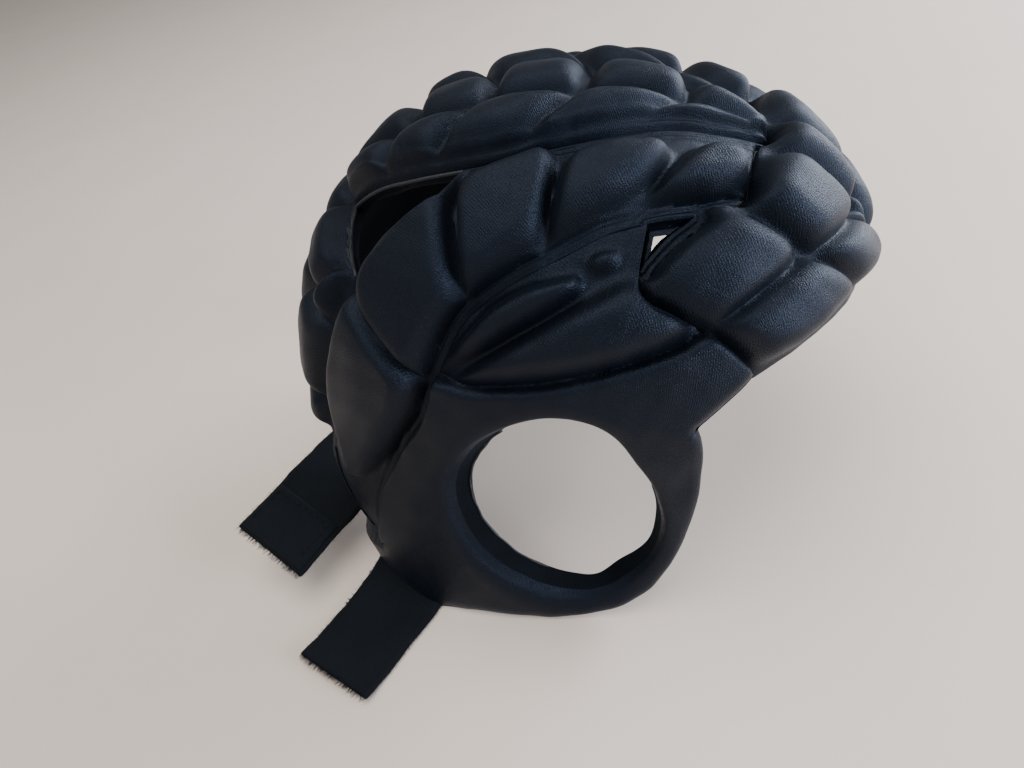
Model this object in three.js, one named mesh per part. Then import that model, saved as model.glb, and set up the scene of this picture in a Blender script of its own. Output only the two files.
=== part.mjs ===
// Padded head guard for goalkeepers: a soft cap of foam cells under stretch knit, with two nape straps.
// Millimetres, +Z up. It stands on the soles of its two ear loops; the wearer's right is +X, the front +Y.
import * as THREE from 'three';

// Outer form of the cap over its pads, before the loops flare: an oval plan that closes to a dome
const HEAD = {
  halfWidth: 87, front: 107, back: 111, rise: 97, middleY: -3, middleZ: 73, planPower: 2.3, domePower: 2.1,
};
// Below this height the sides splay out and the plan's widest place slides back
const FLARE = { startZ: 83, length: 80, soften: 0.25, widen: 0.12, slideBack: 34, backTaper: 0.06 };
// The ear holes' centre line; every place on the cap is an angle pair seen from it
const EAR = { y: -5, z: 55 };
// Wall heights above the lining: full pad, stitched groove, sewn panel edge, smooth band and rolled edge
const LIFT = { pad: 12, groove: 5, seam: 3.2, band: 9, rolledEdge: 5.5 };
const SHOULDER = 9;          // run over which a pad rounds down to its edge
const GROOVE_RUN = 8;        // run over which a pad rounds down to a groove
const SEAM_GAP = 0.6;        // clear space between two neighbouring panels
const CAP_RADIUS = 105;      // mean radius that turns angles into lengths
const STRAP = { width: 37, thickness: 2, step: 10, crowding: 1.5, clear: 0.3 };
const PATCH = { thickness: 1.4, length: 25, inset: 1.5 };
// Counts of mesh steps along and across each panel
const STEPS = {
  crown: { along: 24, across: 10 }, back: { along: 14, across: 18 }, side: { along: 34, across: 6 },
  brow: { along: 34, across: 8 }, ear: { across: 6, angle: 6 },
};
const REACH = { far: 220, halvings: 40 };                // search for the cap's surface along a ray
const KNIT_BLACK = 0x15161a;
const STRAP_BLACK = 0x1b1b1d;

const RAD = Math.PI / 180;
const HALF_GAP = SEAM_GAP / 2 / CAP_RADIUS / RAD;

// Seams and edges of the right half, as angle pairs: around from the front over the top, out from the ear
const CROWN_EDGE = [
  { around: 49, out: 88.4 }, { around: 57, out: 84.5 }, { around: 67, out: 81 },
  { around: 76, out: 77 }, { around: 85, out: 74.5 }, { around: 97, out: 73 },
  { around: 110, out: 75 }, { around: 121, out: 79 }, { around: 130, out: 82 },
];
// The side panel leaves the crown's edge at the rear vent and then follows the back panel to the nape corner
const SIDE_TOP = [
  { around: 49, out: 88.4 }, { around: 57, out: 84.5 }, { around: 67, out: 81 },
  { around: 76, out: 77 }, { around: 85, out: 74.5 }, { around: 96, out: 72.6 },
  { around: 102, out: 68.6 }, { around: 110, out: 65.8 }, { around: 121, out: 64 },
  { around: 129, out: 64 }, { around: 141, out: 59.4 }, { around: 160, out: 58.6 },
  { around: 178, out: 60 }, { around: 194, out: 59 }, { around: 203, out: 56.4 },
];
const SIDE_BOTTOM = [
  { around: 51, out: 71.6 }, { around: 59, out: 68 }, { around: 65, out: 64.5 },
  { around: 71, out: 61 }, { around: 80, out: 56 }, { around: 90, out: 52 },
  { around: 103, out: 47 }, { around: 114, out: 41.5 }, { around: 128, out: 36 },
  { around: 142, out: 34.4 }, { around: 170, out: 38.5 }, { around: 190, out: 44 },
  { around: 203, out: 48.5 },
];
const EAR_HOLE = [
  { around: 0, out: 25 }, { around: 30, out: 25 }, { around: 55, out: 27.6 },
  { around: 75, out: 27.2 }, { around: 109, out: 24.2 }, { around: 140, out: 23.4 },
  { around: 170, out: 24.2 }, { around: 200, out: 24.4 }, { around: 230, out: 24.6 },
  { around: 260, out: 26.2 }, { around: 280, out: 27.6 }, { around: 303, out: 27.8 },
  { around: 330, out: 26.8 }, { around: 360, out: 25 },
];
// The loop's free edge from the nape corner under the ear and up to the temple
const LOOP_EDGE = [
  { around: 203, out: 56.4 }, { around: 210, out: 51.6 }, { around: 219, out: 44.4 },
  { around: 227, out: 38.8 }, { around: 236, out: 35 }, { around: 246, out: 33.2 },
  { around: 258, out: 31.8 }, { around: 272, out: 31.3 }, { around: 286, out: 31.6 },
  { around: 300, out: 32 }, { around: 318, out: 31.4 }, { around: 336, out: 31.2 },
  { around: 351, out: 32 }, { around: 370, out: 34.6 }, { around: 382, out: 37 },
  { around: 391, out: 38.6 },
];
// Stretch of the loop's edge that stands on the floor
const SOLE = { from: 243, to: 293 };
const TEMPLE = { out: 51.5, from: 33, to: 59, vent: 64.4, ventFoot: 55.6 };
// Angles over which the ear panel's outer edge steps: at the temple, at the vent and at the nape corner
const STEP_RUN = { temple: 1.5, vent: 0.4, nape: 0.6, sharp: 0.001 };
// Brow rim and brow top, as heights round the head for each angle out from the ear
const RIM = [
  { out: 51.5, around: 32 }, { out: 57, around: 30.6 }, { out: 63, around: 28.6 },
  { out: 73, around: 24.6 }, { out: 82, around: 21 }, { out: 90, around: 19.4 },
];
const BROW_TOP = [
  { out: 51.5, around: 58.6 }, { out: 55, around: 59.6 }, { out: 60, around: 58.6 },
  { out: 64, around: 58.4 }, { out: 67.6, around: 58.4 }, { out: 69.6, around: 55 },
  { out: 71.6, around: 50.8 }, { out: 78, around: 50.5 }, { out: 86, around: 50.2 },
  { out: 88.6, around: 48.4 }, { out: 90, around: 48 },
];
const CROWN = { front: 49, back: 129.5 };
const SIDE = { front: 51, back: 203 };
const BACK = { top: 129.5, corner: 178, arch: 6 };

// Stitched grooves between the cells of the right half, each a line of places [around, out]
const GROOVES = {
  crown: [
    [[52, 88.6], [60, 87], [70, 85.3], [97, 84.6], [129, 85.4]],
    [[117, 77], [111, 84.7]], [[104, 73.5], [97, 84.6]],
    [[88, 74], [80, 84.9]], [[71, 79], [64.5, 86.3]],
    [[111, 84.7], [110, 90]], [[97, 84.6], [96, 90]], [[80, 84.9], [80, 90]], [[64.5, 86.3], [64, 90]],
  ],
  side: [
    [[66, 63], [63.5, 83]], [[82.5, 54], [79.5, 77]], [[100, 47], [99.5, 71]], [[123.5, 36], [122, 65]],
    [[167, 37], [157, 58]], [[172, 54.5], [190, 52], [203, 50.5]],
  ],
  back: [
    [[129.5, 67], [141, 66.5]], [[141, 58], [141, 90]], [[141, 73], [172, 74]], [[166, 57], [164, 74]],
    [[157, 74], [157, 90]],
  ],
  brow: [
    [[51, 83.5], [33, 86]], [[58, 68.5], [40.5, 69.2]], [[46.5, 51.5], [40.5, 69.2]],
    [[40.5, 69.2], [23, 75]],
    [[38, 70], [33, 86]], [[33, 86], [30.5, 90]], [[33, 86], [21, 89.8]], [[49, 90], [19, 90]],
  ],
  ear: [
    [[108, 38], [93, 35], [67, 39], [53, 47], [47, 51.5]],
    [[108, 38.3], [91, 42.5], [75, 50], [66, 54]],
    [[108, 39.5], [96, 46.5], [86, 50.5], [75, 53.2], [66, 54.5]],
  ],
};
const BAND_LIMIT = [
  { around: 47, out: 51.5 }, { around: 53, out: 47 }, { around: 67, out: 39 },
  { around: 93, out: 35 }, { around: 108, out: 38 },
];

// Strap courses: ends of the middle line and direction of the sewn edge, then along the line the height of
// the lower face and how much the rear side stands above the middle
const STRAP_COURSES = {
  strap_right: {
    start: { x: 60, y: -66 }, end: { x: 126, y: -93 }, sewn: { x: 0.45, y: 0.89 },
    heights: [
      { along: 0, z: 6.2, lean: 3.6 }, { along: 0.15, z: 4.8, lean: 3.2 }, { along: 0.3, z: 2.3, lean: 2 },
      { along: 0.5, z: 0.4, lean: 0.2 }, { along: 0.85, z: 0.3, lean: 0 }, { along: 1, z: 1.6, lean: 0 },
    ],
  },
  strap_left: {
    start: { x: -77, y: -57 }, end: { x: 85, y: -133 }, sewn: { x: -0.21, y: 0.978 },
    heights: [
      { along: 0, z: 6.3, lean: 0 }, { along: 0.06, z: 4.7, lean: 0 }, { along: 0.14, z: 1.6, lean: 0 },
      { along: 0.24, z: 0.6, lean: 0 }, { along: 0.4, z: 11, lean: 2 }, { along: 0.54, z: 22, lean: 4 },
      { along: 0.7, z: 25, lean: 5 }, { along: 1, z: 21, lean: 5 },
    ],
  },
};
const SEWN_TURN = 0.25;      // share of a strap over which its sewn edge turns square to its course

// Reads a table at a place, with a smooth curve through its rows
function readTable(rows, from, to, at) {
  const last = rows.length - 1;
  let i = 0;
  while (i < last - 1 && at > rows[i + 1][from]) i += 1;
  const slope = (k) => {
    const a = rows[Math.max(k - 1, 0)];
    const b = rows[Math.min(k + 1, last)];
    return (b[to] - a[to]) / (b[from] - a[from]);
  };
  const a = rows[i];
  const b = rows[i + 1];
  const span = b[from] - a[from];
  const t = THREE.MathUtils.clamp((at - a[from]) / span, 0, 1);
  const t2 = t * t;
  const t3 = t2 * t;
  return a[to] * (2 * t3 - 3 * t2 + 1) + b[to] * (3 * t2 - 2 * t3)
    + span * (slope(i) * (t3 - 2 * t2 + t) + slope(i + 1) * (t3 - t2));
}

const readOut = (rows, around) => readTable(rows, 'around', 'out', around);
const readAround = (rows, out) => readTable(rows, 'out', 'around', out);

// Unit direction from the ear centre line for a place on the cap
function direction(around, out) {
  const reach = Math.sin(out * RAD);
  return new THREE.Vector3(
    Math.cos(out * RAD),
    reach * Math.cos(around * RAD),
    reach * Math.sin(around * RAD),
  );
}

// Below 1 inside the cap's form, above 1 outside it; inset shrinks the form
function headForm(p, inset) {
  const drop = Math.max(0, (FLARE.startZ - p.z) / FLARE.length);
  const splay = drop * drop / (drop + FLARE.soften) * (1 + FLARE.soften);
  const middle = HEAD.middleY - FLARE.slideBack * splay;
  const half = (HEAD.halfWidth - inset) * (1 + FLARE.widen * splay);
  const front = HEAD.front + FLARE.slideBack * splay - inset;
  const back = (HEAD.back - FLARE.slideBack * splay) * (1 - FLARE.backTaper * splay * splay) - inset;
  const depth = p.y > middle ? front : back;
  const plan = ((Math.abs(p.x) / half) ** HEAD.planPower
    + (Math.abs(p.y - middle) / depth) ** HEAD.planPower) ** (1 / HEAD.planPower);
  const rise = Math.max(0, (p.z - HEAD.middleZ) / (HEAD.rise - inset));
  return (plan ** HEAD.domePower + rise ** HEAD.domePower) ** (1 / HEAD.domePower);
}

// Point of the cap at a place, lift millimetres above its lining
function capPoint(around, out, lift) {
  const ray = direction(around, out);
  const p = new THREE.Vector3();
  let near = 0;
  let far = REACH.far;
  for (let i = 0; i < REACH.halvings; i += 1) {
    const middle = (near + far) / 2;
    p.set(0, EAR.y, EAR.z).addScaledVector(ray, middle);
    if (headForm(p, LIFT.pad - lift) < 1) near = middle;
    else far = middle;
  }
  return p;
}

// Length along the cap between two unit directions
const capLength = (a, b) => a.angleTo(b) * CAP_RADIUS;

// Length along the cap from a direction to the nearest of some grooves
function grooveLength(ray, grooves) {
  let nearest = Infinity;
  for (const groove of grooves) {
    for (let k = 0; k + 1 < groove.length; k += 1) {
      const a = direction(...groove[k]);
      const b = direction(...groove[k + 1]);
      const along = b.clone().sub(a);
      const t = THREE.MathUtils.clamp(ray.clone().sub(a).dot(along) / along.lengthSq(), 0, 1);
      nearest = Math.min(nearest, capLength(ray, a.addScaledVector(along, t).normalize()));
    }
  }
  return nearest;
}

// Quarter-round rise from 0 at an edge to 1 at the end of its run
const quarterRound = (length, run) => Math.sqrt(1 - (1 - Math.min(length / run, 1)) ** 2);

// Height of a padded wall from its lengths to the nearest edge and groove
function padLift(edge, groove, edgeLift, fullLift) {
  const fromEdge = edgeLift + (fullLift - edgeLift) * quarterRound(edge, SHOULDER);
  const fromGroove = LIFT.groove + (fullLift - LIFT.groove) * quarterRound(groove, GROOVE_RUN);
  return Math.min(fromEdge, fromGroove);
}

// Closed solid between an outer and an inner grid of points; a ring's columns close on themselves
function shellGeometry(outer, inner, ring) {
  const columns = outer.length;
  const rows = outer[0].length;
  const index = [];
  const at = (i, j) => (i % columns) * rows + j;
  const under = columns * rows;
  const quad = (a, b, c, d) => index.push(a, b, c, a, c, d);
  const spans = ring ? columns : columns - 1;
  for (let i = 0; i < spans; i += 1) {
    for (let j = 0; j + 1 < rows; j += 1) {
      quad(at(i, j), at(i + 1, j), at(i + 1, j + 1), at(i, j + 1));
      quad(under + at(i, j), under + at(i, j + 1), under + at(i + 1, j + 1), under + at(i + 1, j));
    }
    quad(at(i, 0), under + at(i, 0), under + at(i + 1, 0), at(i + 1, 0));
    quad(at(i, rows - 1), at(i + 1, rows - 1), under + at(i + 1, rows - 1), under + at(i, rows - 1));
  }
  if (!ring) {
    const end = columns - 1;
    for (let j = 0; j + 1 < rows; j += 1) {
      quad(at(0, j), at(0, j + 1), under + at(0, j + 1), under + at(0, j));
      quad(at(end, j), under + at(end, j), under + at(end, j + 1), at(end, j + 1));
    }
  }
  const points = [...outer.flat(), ...inner.flat()];
  return facingOut(new THREE.BufferGeometry().setFromPoints(points), index);
}

// Sets the triangles of a closed geometry so that they face outwards
function facingOut(geometry, index) {
  const place = geometry.getAttribute('position');
  const corner = [0, 1, 2].map(() => new THREE.Vector3());
  let volume = 0;
  for (let k = 0; k < index.length; k += 3) {
    corner.forEach((c, n) => c.fromBufferAttribute(place, index[k + n]));
    volume += corner[0].dot(corner[1].clone().cross(corner[2]));
  }
  const facing = volume > 0 ? index : index.map((v, k) => index[k - (k % 3) + 2 - (k % 3)]);
  geometry.setIndex(facing);
  geometry.computeVertexNormals();
  return geometry;
}

// Mirror image of a geometry across the cap's middle plane
function mirrored(geometry) {
  const copy = geometry.clone();
  copy.scale(-1, 1, 1);
  return facingOut(copy, Array.from(geometry.getIndex().array));
}

// Padded panel over a four-sided patch; place(u, v) gives [around, out] with both from 0 to 1
function patchPanel(steps, place, grooves, edgeLift = () => LIFT.seam) {
  const outer = [];
  const inner = [];
  for (let i = 0; i <= steps.along; i += 1) {
    const u = i / steps.along;
    outer.push([]);
    inner.push([]);
    for (let j = 0; j <= steps.across; j += 1) {
      const v = j / steps.across;
      const [around, out] = place(u, v);
      const ray = direction(around, out);
      const edges = [place(0, v), place(1, v), place(u, 0), place(u, 1)];
      const edge = Math.min(...edges.map((e) => capLength(ray, direction(...e))));
      const folded = direction(around, Math.min(out, 180 - out));
      const lift = padLift(edge, grooveLength(folded, grooves), edgeLift(u, v), LIFT.pad);
      outer[i].push(capPoint(around, out, lift));
      inner[i].push(capPoint(around, out, 0));
    }
  }
  return shellGeometry(outer, inner, false);
}

function crownPanel() {
  const place = (u, v) => {
    const around = THREE.MathUtils.lerp(CROWN.front + HALF_GAP, CROWN.back - HALF_GAP, u);
    const edge = readOut(CROWN_EDGE, around) + HALF_GAP;
    return [around, THREE.MathUtils.lerp(edge, 180 - edge, v)];
  };
  return patchPanel(STEPS.crown, place, GROOVES.crown);
}

function backPanel() {
  const place = (u, v) => {
    const foot = BACK.corner - BACK.arch * Math.sin(Math.PI * v);
    const around = THREE.MathUtils.lerp(BACK.top + HALF_GAP, foot, u);
    const edge = readOut(SIDE_TOP, around) + HALF_GAP;
    return [around, THREE.MathUtils.lerp(edge, 180 - edge, v)];
  };
  return patchPanel(STEPS.back, place, GROOVES.back, (u) => (u > 0.5 ? LIFT.rolledEdge : LIFT.seam));
}

function sidePanel() {
  const place = (u, v) => {
    const around = THREE.MathUtils.lerp(SIDE.front + HALF_GAP, SIDE.back - HALF_GAP, u);
    const low = readOut(SIDE_BOTTOM, around) + HALF_GAP;
    const high = readOut(SIDE_TOP, around) - HALF_GAP;
    return [around, THREE.MathUtils.lerp(low, high, v)];
  };
  return patchPanel(STEPS.side, place, GROOVES.side);
}

function browPanel() {
  const place = (u, v) => {
    const out = THREE.MathUtils.lerp(TEMPLE.out + HALF_GAP, 180 - TEMPLE.out - HALF_GAP, u);
    const half = Math.min(out, 180 - out);
    const low = readAround(RIM, half);
    const high = readAround(BROW_TOP, half) - 2 * HALF_GAP;
    return [THREE.MathUtils.lerp(low, high, v), out];
  };
  return patchPanel(STEPS.brow, place, GROOVES.brow, (u, v) => (v < 0.5 ? LIFT.rolledEdge : LIFT.seam));
}

// Outer edge of the ear panel all the way round: temple seam, vent, side seam and the loop's free edge
function earEdge(around) {
  if (around < TEMPLE.from) return readOut(LOOP_EDGE, around + 360);
  if (around < TEMPLE.to) return TEMPLE.out - HALF_GAP;
  if (around < TEMPLE.vent) {
    const t = (around - TEMPLE.to) / (TEMPLE.vent - TEMPLE.to);
    return THREE.MathUtils.lerp(TEMPLE.out - HALF_GAP, TEMPLE.ventFoot, t);
  }
  if (around < SIDE.back) return readOut(SIDE_BOTTOM, around) - HALF_GAP;
  return readOut(LOOP_EDGE, around);
}

function earPanel() {
  const rows = STEPS.ear.across;
  const padFrom = BAND_LIMIT[0].around;
  const padTo = BAND_LIMIT.at(-1).around;
  const outer = [];
  const inner = [];
  earStops().forEach((around, i) => {
    outer.push([]);
    inner.push([]);
    const hole = readOut(EAR_HOLE, around);
    const rim = earEdge(around);
    const free = around < TEMPLE.from || around > SIDE.back;
    const limit = readOut(BAND_LIMIT, THREE.MathUtils.clamp(around, padFrom, padTo));
    for (let j = 0; j <= rows; j += 1) {
      const out = THREE.MathUtils.lerp(hole, rim, j / rows);
      const ray = direction(around, out);
      const toHole = capLength(ray, direction(around, hole));
      const toRim = capLength(ray, direction(around, rim));
      const full = !free && out > limit && around < padTo ? LIFT.pad : LIFT.band;
      const edgeLift = toHole < toRim || free ? LIFT.rolledEdge : LIFT.seam;
      const lift = padLift(Math.min(toHole, toRim), grooveLength(ray, GROOVES.ear), edgeLift, full);
      outer[i].push(capPoint(around, out, lift));
      inner[i].push(capPoint(around, out, 0));
    }
    if (around > SOLE.from && around < SOLE.to) {
      outer[i][rows].z = 0;
      inner[i][rows].z = 0;
    }
  });
  return shellGeometry(outer, inner, true);
}

// Angles round the ear at which the ear panel has a column, with one on each side of every step in its edge
function earStops() {
  const marks = [
    TEMPLE.from - STEP_RUN.temple, TEMPLE.from, TEMPLE.to, TEMPLE.vent - STEP_RUN.vent, TEMPLE.vent,
    SIDE.back - STEP_RUN.sharp, SIDE.back + STEP_RUN.nape,
  ];
  const clear = STEPS.ear.angle / 2;
  const stops = [...marks];
  for (let around = 0; around < 360; around += STEPS.ear.angle) {
    const nearest = Math.min(...marks.map((mark) => Math.abs(mark - around)));
    if (nearest > clear) stops.push(around);
  }
  return stops.sort((a, b) => a - b);
}

// Frames along a stretch of a strap: the middle of its lower face, the vector to its side and the unit
// vector off its face; from and to are shares of its length
function strapFrames({ start, end, sewn, heights }, from = 0, to = 1) {
  const foot = new THREE.Vector3(start.x, start.y, 0);
  const run = new THREE.Vector3(end.x - start.x, end.y - start.y, 0);
  const square = new THREE.Vector3(-run.y, run.x, 0).normalize();
  const slant = new THREE.Vector3(sewn.x, sewn.y, 0);
  slant.divideScalar(slant.dot(square));
  const count = Math.ceil(run.length() * (to - from) / STRAP.step) * 2;
  const frames = [];
  for (let i = 0; i <= count; i += 1) {
    const along = THREE.MathUtils.lerp(from, to, (i / count) ** STRAP.crowding);
    const p = foot.clone().addScaledVector(run, along);
    p.z = Math.max(STRAP.clear, readTable(heights, 'along', 'z', along));
    const across = slant.clone().lerp(square, Math.min(1, along / SEWN_TURN));
    across.z = -readTable(heights, 'along', 'lean', along) / (STRAP.width / 2);
    frames.push({ p, across });
  }
  frames.forEach((frame, i) => {
    const before = frames[Math.max(i - 1, 0)].p;
    const after = frames[Math.min(i + 1, frames.length - 1)].p;
    frame.up = after.clone().sub(before).cross(frame.across).normalize();
  });
  return frames;
}

// Flat strip of even thickness along strap frames, raised above their lower face
function stripGeometry(frames, width, thickness, raise) {
  const side = (frame, x, y) => frame.p.clone()
    .addScaledVector(frame.across, x * width / 2)
    .addScaledVector(frame.up, raise + y * thickness);
  const upper = frames.map((frame) => [side(frame, -1, 1), side(frame, 1, 1)]);
  const lower = frames.map((frame) => [side(frame, -1, 0), side(frame, 1, 0)]);
  return shellGeometry(upper, lower, false);
}

const knit = new THREE.MeshStandardMaterial({ color: KNIT_BLACK, roughness: 0.75, metalness: 0 });
const webbing = new THREE.MeshStandardMaterial({ color: STRAP_BLACK, roughness: 0.9, metalness: 0 });
const cap = new THREE.Group();

function addPiece(name, geometry, material) {
  const mesh = new THREE.Mesh(geometry, material);
  mesh.name = name;
  cap.add(mesh);
}

addPiece('crown_panel', crownPanel(), knit);
addPiece('back_panel', backPanel(), knit);
addPiece('brow_panel', browPanel(), knit);
const side = sidePanel();
addPiece('side_panel_right', side, knit);
addPiece('side_panel_left', mirrored(side), knit);
const ear = earPanel();
addPiece('ear_panel_right', ear, knit);
addPiece('ear_panel_left', mirrored(ear), knit);
for (const [name, course] of Object.entries(STRAP_COURSES)) {
  addPiece(name, stripGeometry(strapFrames(course), STRAP.width, STRAP.thickness, 0), webbing);
}
const strap = STRAP_COURSES.strap_left;
const strapLength = Math.hypot(strap.end.x - strap.start.x, strap.end.y - strap.start.y);
const patchFrames = strapFrames(strap, 1 - PATCH.length / strapLength, 1 - PATCH.inset / strapLength);
const patchRaise = STRAP.thickness + STRAP.clear;
const patchWidth = STRAP.width - 2 * PATCH.inset;
addPiece('strap_left_patch', stripGeometry(patchFrames, patchWidth, PATCH.thickness, patchRaise), webbing);

// The origin is the middle of the floor under the whole thing
const box = new THREE.Box3().setFromObject(cap);
const middle = box.getCenter(new THREE.Vector3());
cap.position.set(-middle.x, -middle.y, -box.min.z);

export default cap;
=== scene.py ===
"""Goalkeeper head guard: foam cells under black stretch knit, stitched panels and two nape straps.

Every place on the cap is a pair of angles seen from the middle of the ear line: around, from the front
over the top to the back, and out, from the right ear. Chart lengths are millimetres; meshes are in metres.
"""
from __future__ import annotations

import logging
import math
from dataclasses import dataclass, field
from enum import Enum
from typing import ClassVar

import bpy
import numpy as np
from mathutils import Matrix, Vector


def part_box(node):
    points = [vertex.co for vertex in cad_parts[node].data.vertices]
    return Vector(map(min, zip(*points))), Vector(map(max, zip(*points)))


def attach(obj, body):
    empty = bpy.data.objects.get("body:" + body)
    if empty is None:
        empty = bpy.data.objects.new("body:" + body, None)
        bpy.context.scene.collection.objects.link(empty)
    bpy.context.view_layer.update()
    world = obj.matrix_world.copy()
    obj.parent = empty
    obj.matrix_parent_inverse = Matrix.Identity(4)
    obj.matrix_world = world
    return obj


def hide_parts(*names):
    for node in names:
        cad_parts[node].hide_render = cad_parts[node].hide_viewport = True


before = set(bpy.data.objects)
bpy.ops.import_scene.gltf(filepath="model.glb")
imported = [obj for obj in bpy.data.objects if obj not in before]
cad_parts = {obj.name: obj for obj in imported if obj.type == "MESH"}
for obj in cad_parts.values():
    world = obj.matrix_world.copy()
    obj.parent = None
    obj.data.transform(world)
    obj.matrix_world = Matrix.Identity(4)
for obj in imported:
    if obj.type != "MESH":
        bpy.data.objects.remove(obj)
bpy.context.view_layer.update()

Array = np.ndarray
Socket = bpy.types.NodeSocket
Place = tuple[float, float]  # angles on the chart, a point of the floor, or a curve's key and value
Span = tuple[float, float]   # lower and upper limit
Colour = tuple[float, float, float]

LOG = logging.getLogger("head_guard")
MM = 0.001
CAP_RADIUS = 105.0           # mean radius that turns chart angles into lengths
SEED = 7
TINY = 1e-9                  # least length that a vector is divided by
WEAVE_UV = "weave"
BROW_FRONT_Y = 99.55         # the brow's foremost point, measured from the cap's own middle


class Side(Enum):
    """The wearer's side that a piece belongs to, as the sign of its x."""

    RIGHT = 1
    LEFT = -1

    @property
    def word(self) -> str:
        """Name of the side as piece names carry it."""
        return self.name.lower()


class Slot(Enum):
    """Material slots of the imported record."""

    KNIT = "knit"
    WEBBING = "webbing"


def direction(around: Array, out: Array) -> Array:
    """Unit directions from the ear line for places on the cap.

    Args:
        around: Angles from the front over the top, in degrees.
        out: Angles from the right ear, in degrees.

    Returns:
        Directions with x to the wearer's right, y to the front and z up.
    """
    around = np.radians(around)
    out = np.radians(out)
    reach = np.sin(out)
    return np.stack([np.cos(out), reach * np.cos(around), reach * np.sin(around)], axis=-1)


def nearest(rays: Array, line: Array) -> Array:
    """Lengths along the cap from directions to the nearest of a line's points.

    Args:
        rays: Unit directions, one per row.
        line: Unit directions of the line's points, one per row.

    Returns:
        Lengths in millimetres.
    """
    closest = (rays @ line.T).max(axis=1)
    return CAP_RADIUS * np.arccos(np.clip(closest, -1.0, 1.0))


def folded(rays: Array) -> Array:
    """Directions folded onto the right half of the cap."""
    return np.concatenate([np.abs(rays[:, :1]), rays[:, 1:]], axis=1)


def rounded(length: Array, run: float) -> Array:
    """Rise from 0 at an edge to 1 at the end of its run, as a quarter round."""
    share = np.clip(length / run, 0.0, 1.0)
    return np.sqrt(1.0 - (1.0 - share) ** 2)


def unevenness(points: Array, amount: float, lengths: Span, seed: int, waves: int = 14) -> Array:
    """Smooth random heights over points in space.

    Args:
        points: Places in millimetres, one per row.
        amount: Height that the sum of the waves seldom passes.
        lengths: Shortest and longest wave.
        seed: Seed of the random waves.
        waves: Count of waves.

    Returns:
        One height for each point.
    """
    chance = np.random.default_rng(seed)
    ways = chance.normal(size=(waves, 3))
    ways /= np.linalg.norm(ways, axis=1)[:, None]
    ways *= (2.0 * math.pi / chance.uniform(*lengths, size=waves))[:, None]
    phases = chance.uniform(0.0, 2.0 * math.pi, size=waves)
    return amount * np.sin(points @ ways.T + phases).sum(axis=1) / math.sqrt(waves)


@dataclass(frozen=True)
class Curve:
    """Smooth curve through rows of a key and its value."""

    rows: tuple[Place, ...]

    def at(self, key: Array) -> Array:
        """Values of the curve at keys."""
        keys, values = np.array(self.rows).T
        before = np.maximum(np.arange(len(keys)) - 1, 0)
        after = np.minimum(np.arange(len(keys)) + 1, len(keys) - 1)
        slopes = (values[after] - values[before]) / (keys[after] - keys[before])
        i = np.clip(np.searchsorted(keys, key) - 1, 0, len(keys) - 2)
        span = keys[i + 1] - keys[i]
        t = np.clip((key - keys[i]) / span, 0.0, 1.0)
        rise = 3 * t**2 - 2 * t**3
        bend = slopes[i] * (t**3 - 2 * t**2 + t) + slopes[i + 1] * (t**3 - t**2)
        return values[i] * (1 - rise) + values[i + 1] * rise + span * bend

    def line(self, first: float, last: float, points: int, by_out: bool = False) -> Array:
        """Directions along a stretch of a curve on the chart.

        Args:
            first: Key where the stretch starts.
            last: Key where it ends.
            points: Count of directions.
            by_out: Whether the keys are angles out and the values angles around.

        Returns:
            Unit directions, one per row.
        """
        keys = np.linspace(first, last, points)
        values = self.at(keys)
        return direction(values, keys) if by_out else direction(keys, values)


@dataclass(frozen=True)
class HeadForm:
    """Form of the cap over its pads: an oval plan that closes to a dome and splays out below."""

    half_width: float = 87.0
    front: float = 107.0
    back: float = 111.0
    rise: float = 97.0
    middle_y: float = -3.0
    middle_z: float = 73.0
    plan_power: float = 2.3
    dome_power: float = 2.1
    flare_start: float = 83.0
    flare_length: float = 80.0
    flare_soften: float = 0.25
    flare_widen: float = 0.12
    flare_slide: float = 34.0
    flare_taper: float = 0.06
    pad: float = 12.0
    ear_y: float = -5.0
    ear_z: float = 55.0
    nape: Place = (189.0, 62.0)
    nape_flare: float = 12.0
    nape_width: float = 36.0
    reach: float = 220.0
    halvings: int = 28

    @property
    def ear(self) -> Array:
        """Middle of the ear line, where the rays start."""
        return np.array([0.0, self.ear_y, self.ear_z])

    def level(self, points: Array, inset: Array) -> Array:
        """Below 1 inside the form and above 1 outside it; inset shrinks the form."""
        drop = np.maximum(0.0, (self.flare_start - points[:, 2]) / self.flare_length)
        splay = drop**2 / (drop + self.flare_soften) * (1 + self.flare_soften)
        slide = self.flare_slide * splay
        middle = self.middle_y - slide
        half = (self.half_width - inset) * (1 + self.flare_widen * splay)
        front = self.front + slide - inset
        back = (self.back - slide) * (1 - self.flare_taper * splay**2) - inset
        depth = np.where(points[:, 1] > middle, front, back)
        across = (np.abs(points[:, 0]) / half) ** self.plan_power
        along = (np.abs(points[:, 1] - middle) / depth) ** self.plan_power
        plan = (across + along) ** (self.dome_power / self.plan_power)
        rise = np.maximum(0.0, (points[:, 2] - self.middle_z) / (self.rise - inset))
        return plan + rise**self.dome_power

    def surface(self, rays: Array, lift: Array) -> Array:
        """Points of the cap along rays from the ear line.

        Args:
            rays: Unit directions, one per row.
            lift: Heights above the lining.

        Returns:
            Points in millimetres from the cap's own middle.
        """
        ear = self.ear
        near = np.zeros(len(rays))
        far = np.full(len(rays), self.reach)
        corner = direction(*np.array(self.nape)[:, None])
        flare = self.nape_flare * np.exp(-((nearest(folded(rays), corner) / self.nape_width) ** 2))
        inset = self.pad - lift - flare
        for _ in range(self.halvings):
            middle = (near + far) / 2
            inside = self.level(ear + rays * middle[:, None], inset) < 1
            near = np.where(inside, middle, near)
            far = np.where(inside, far, middle)
        return ear + rays * near[:, None]


FORM = HeadForm()

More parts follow.
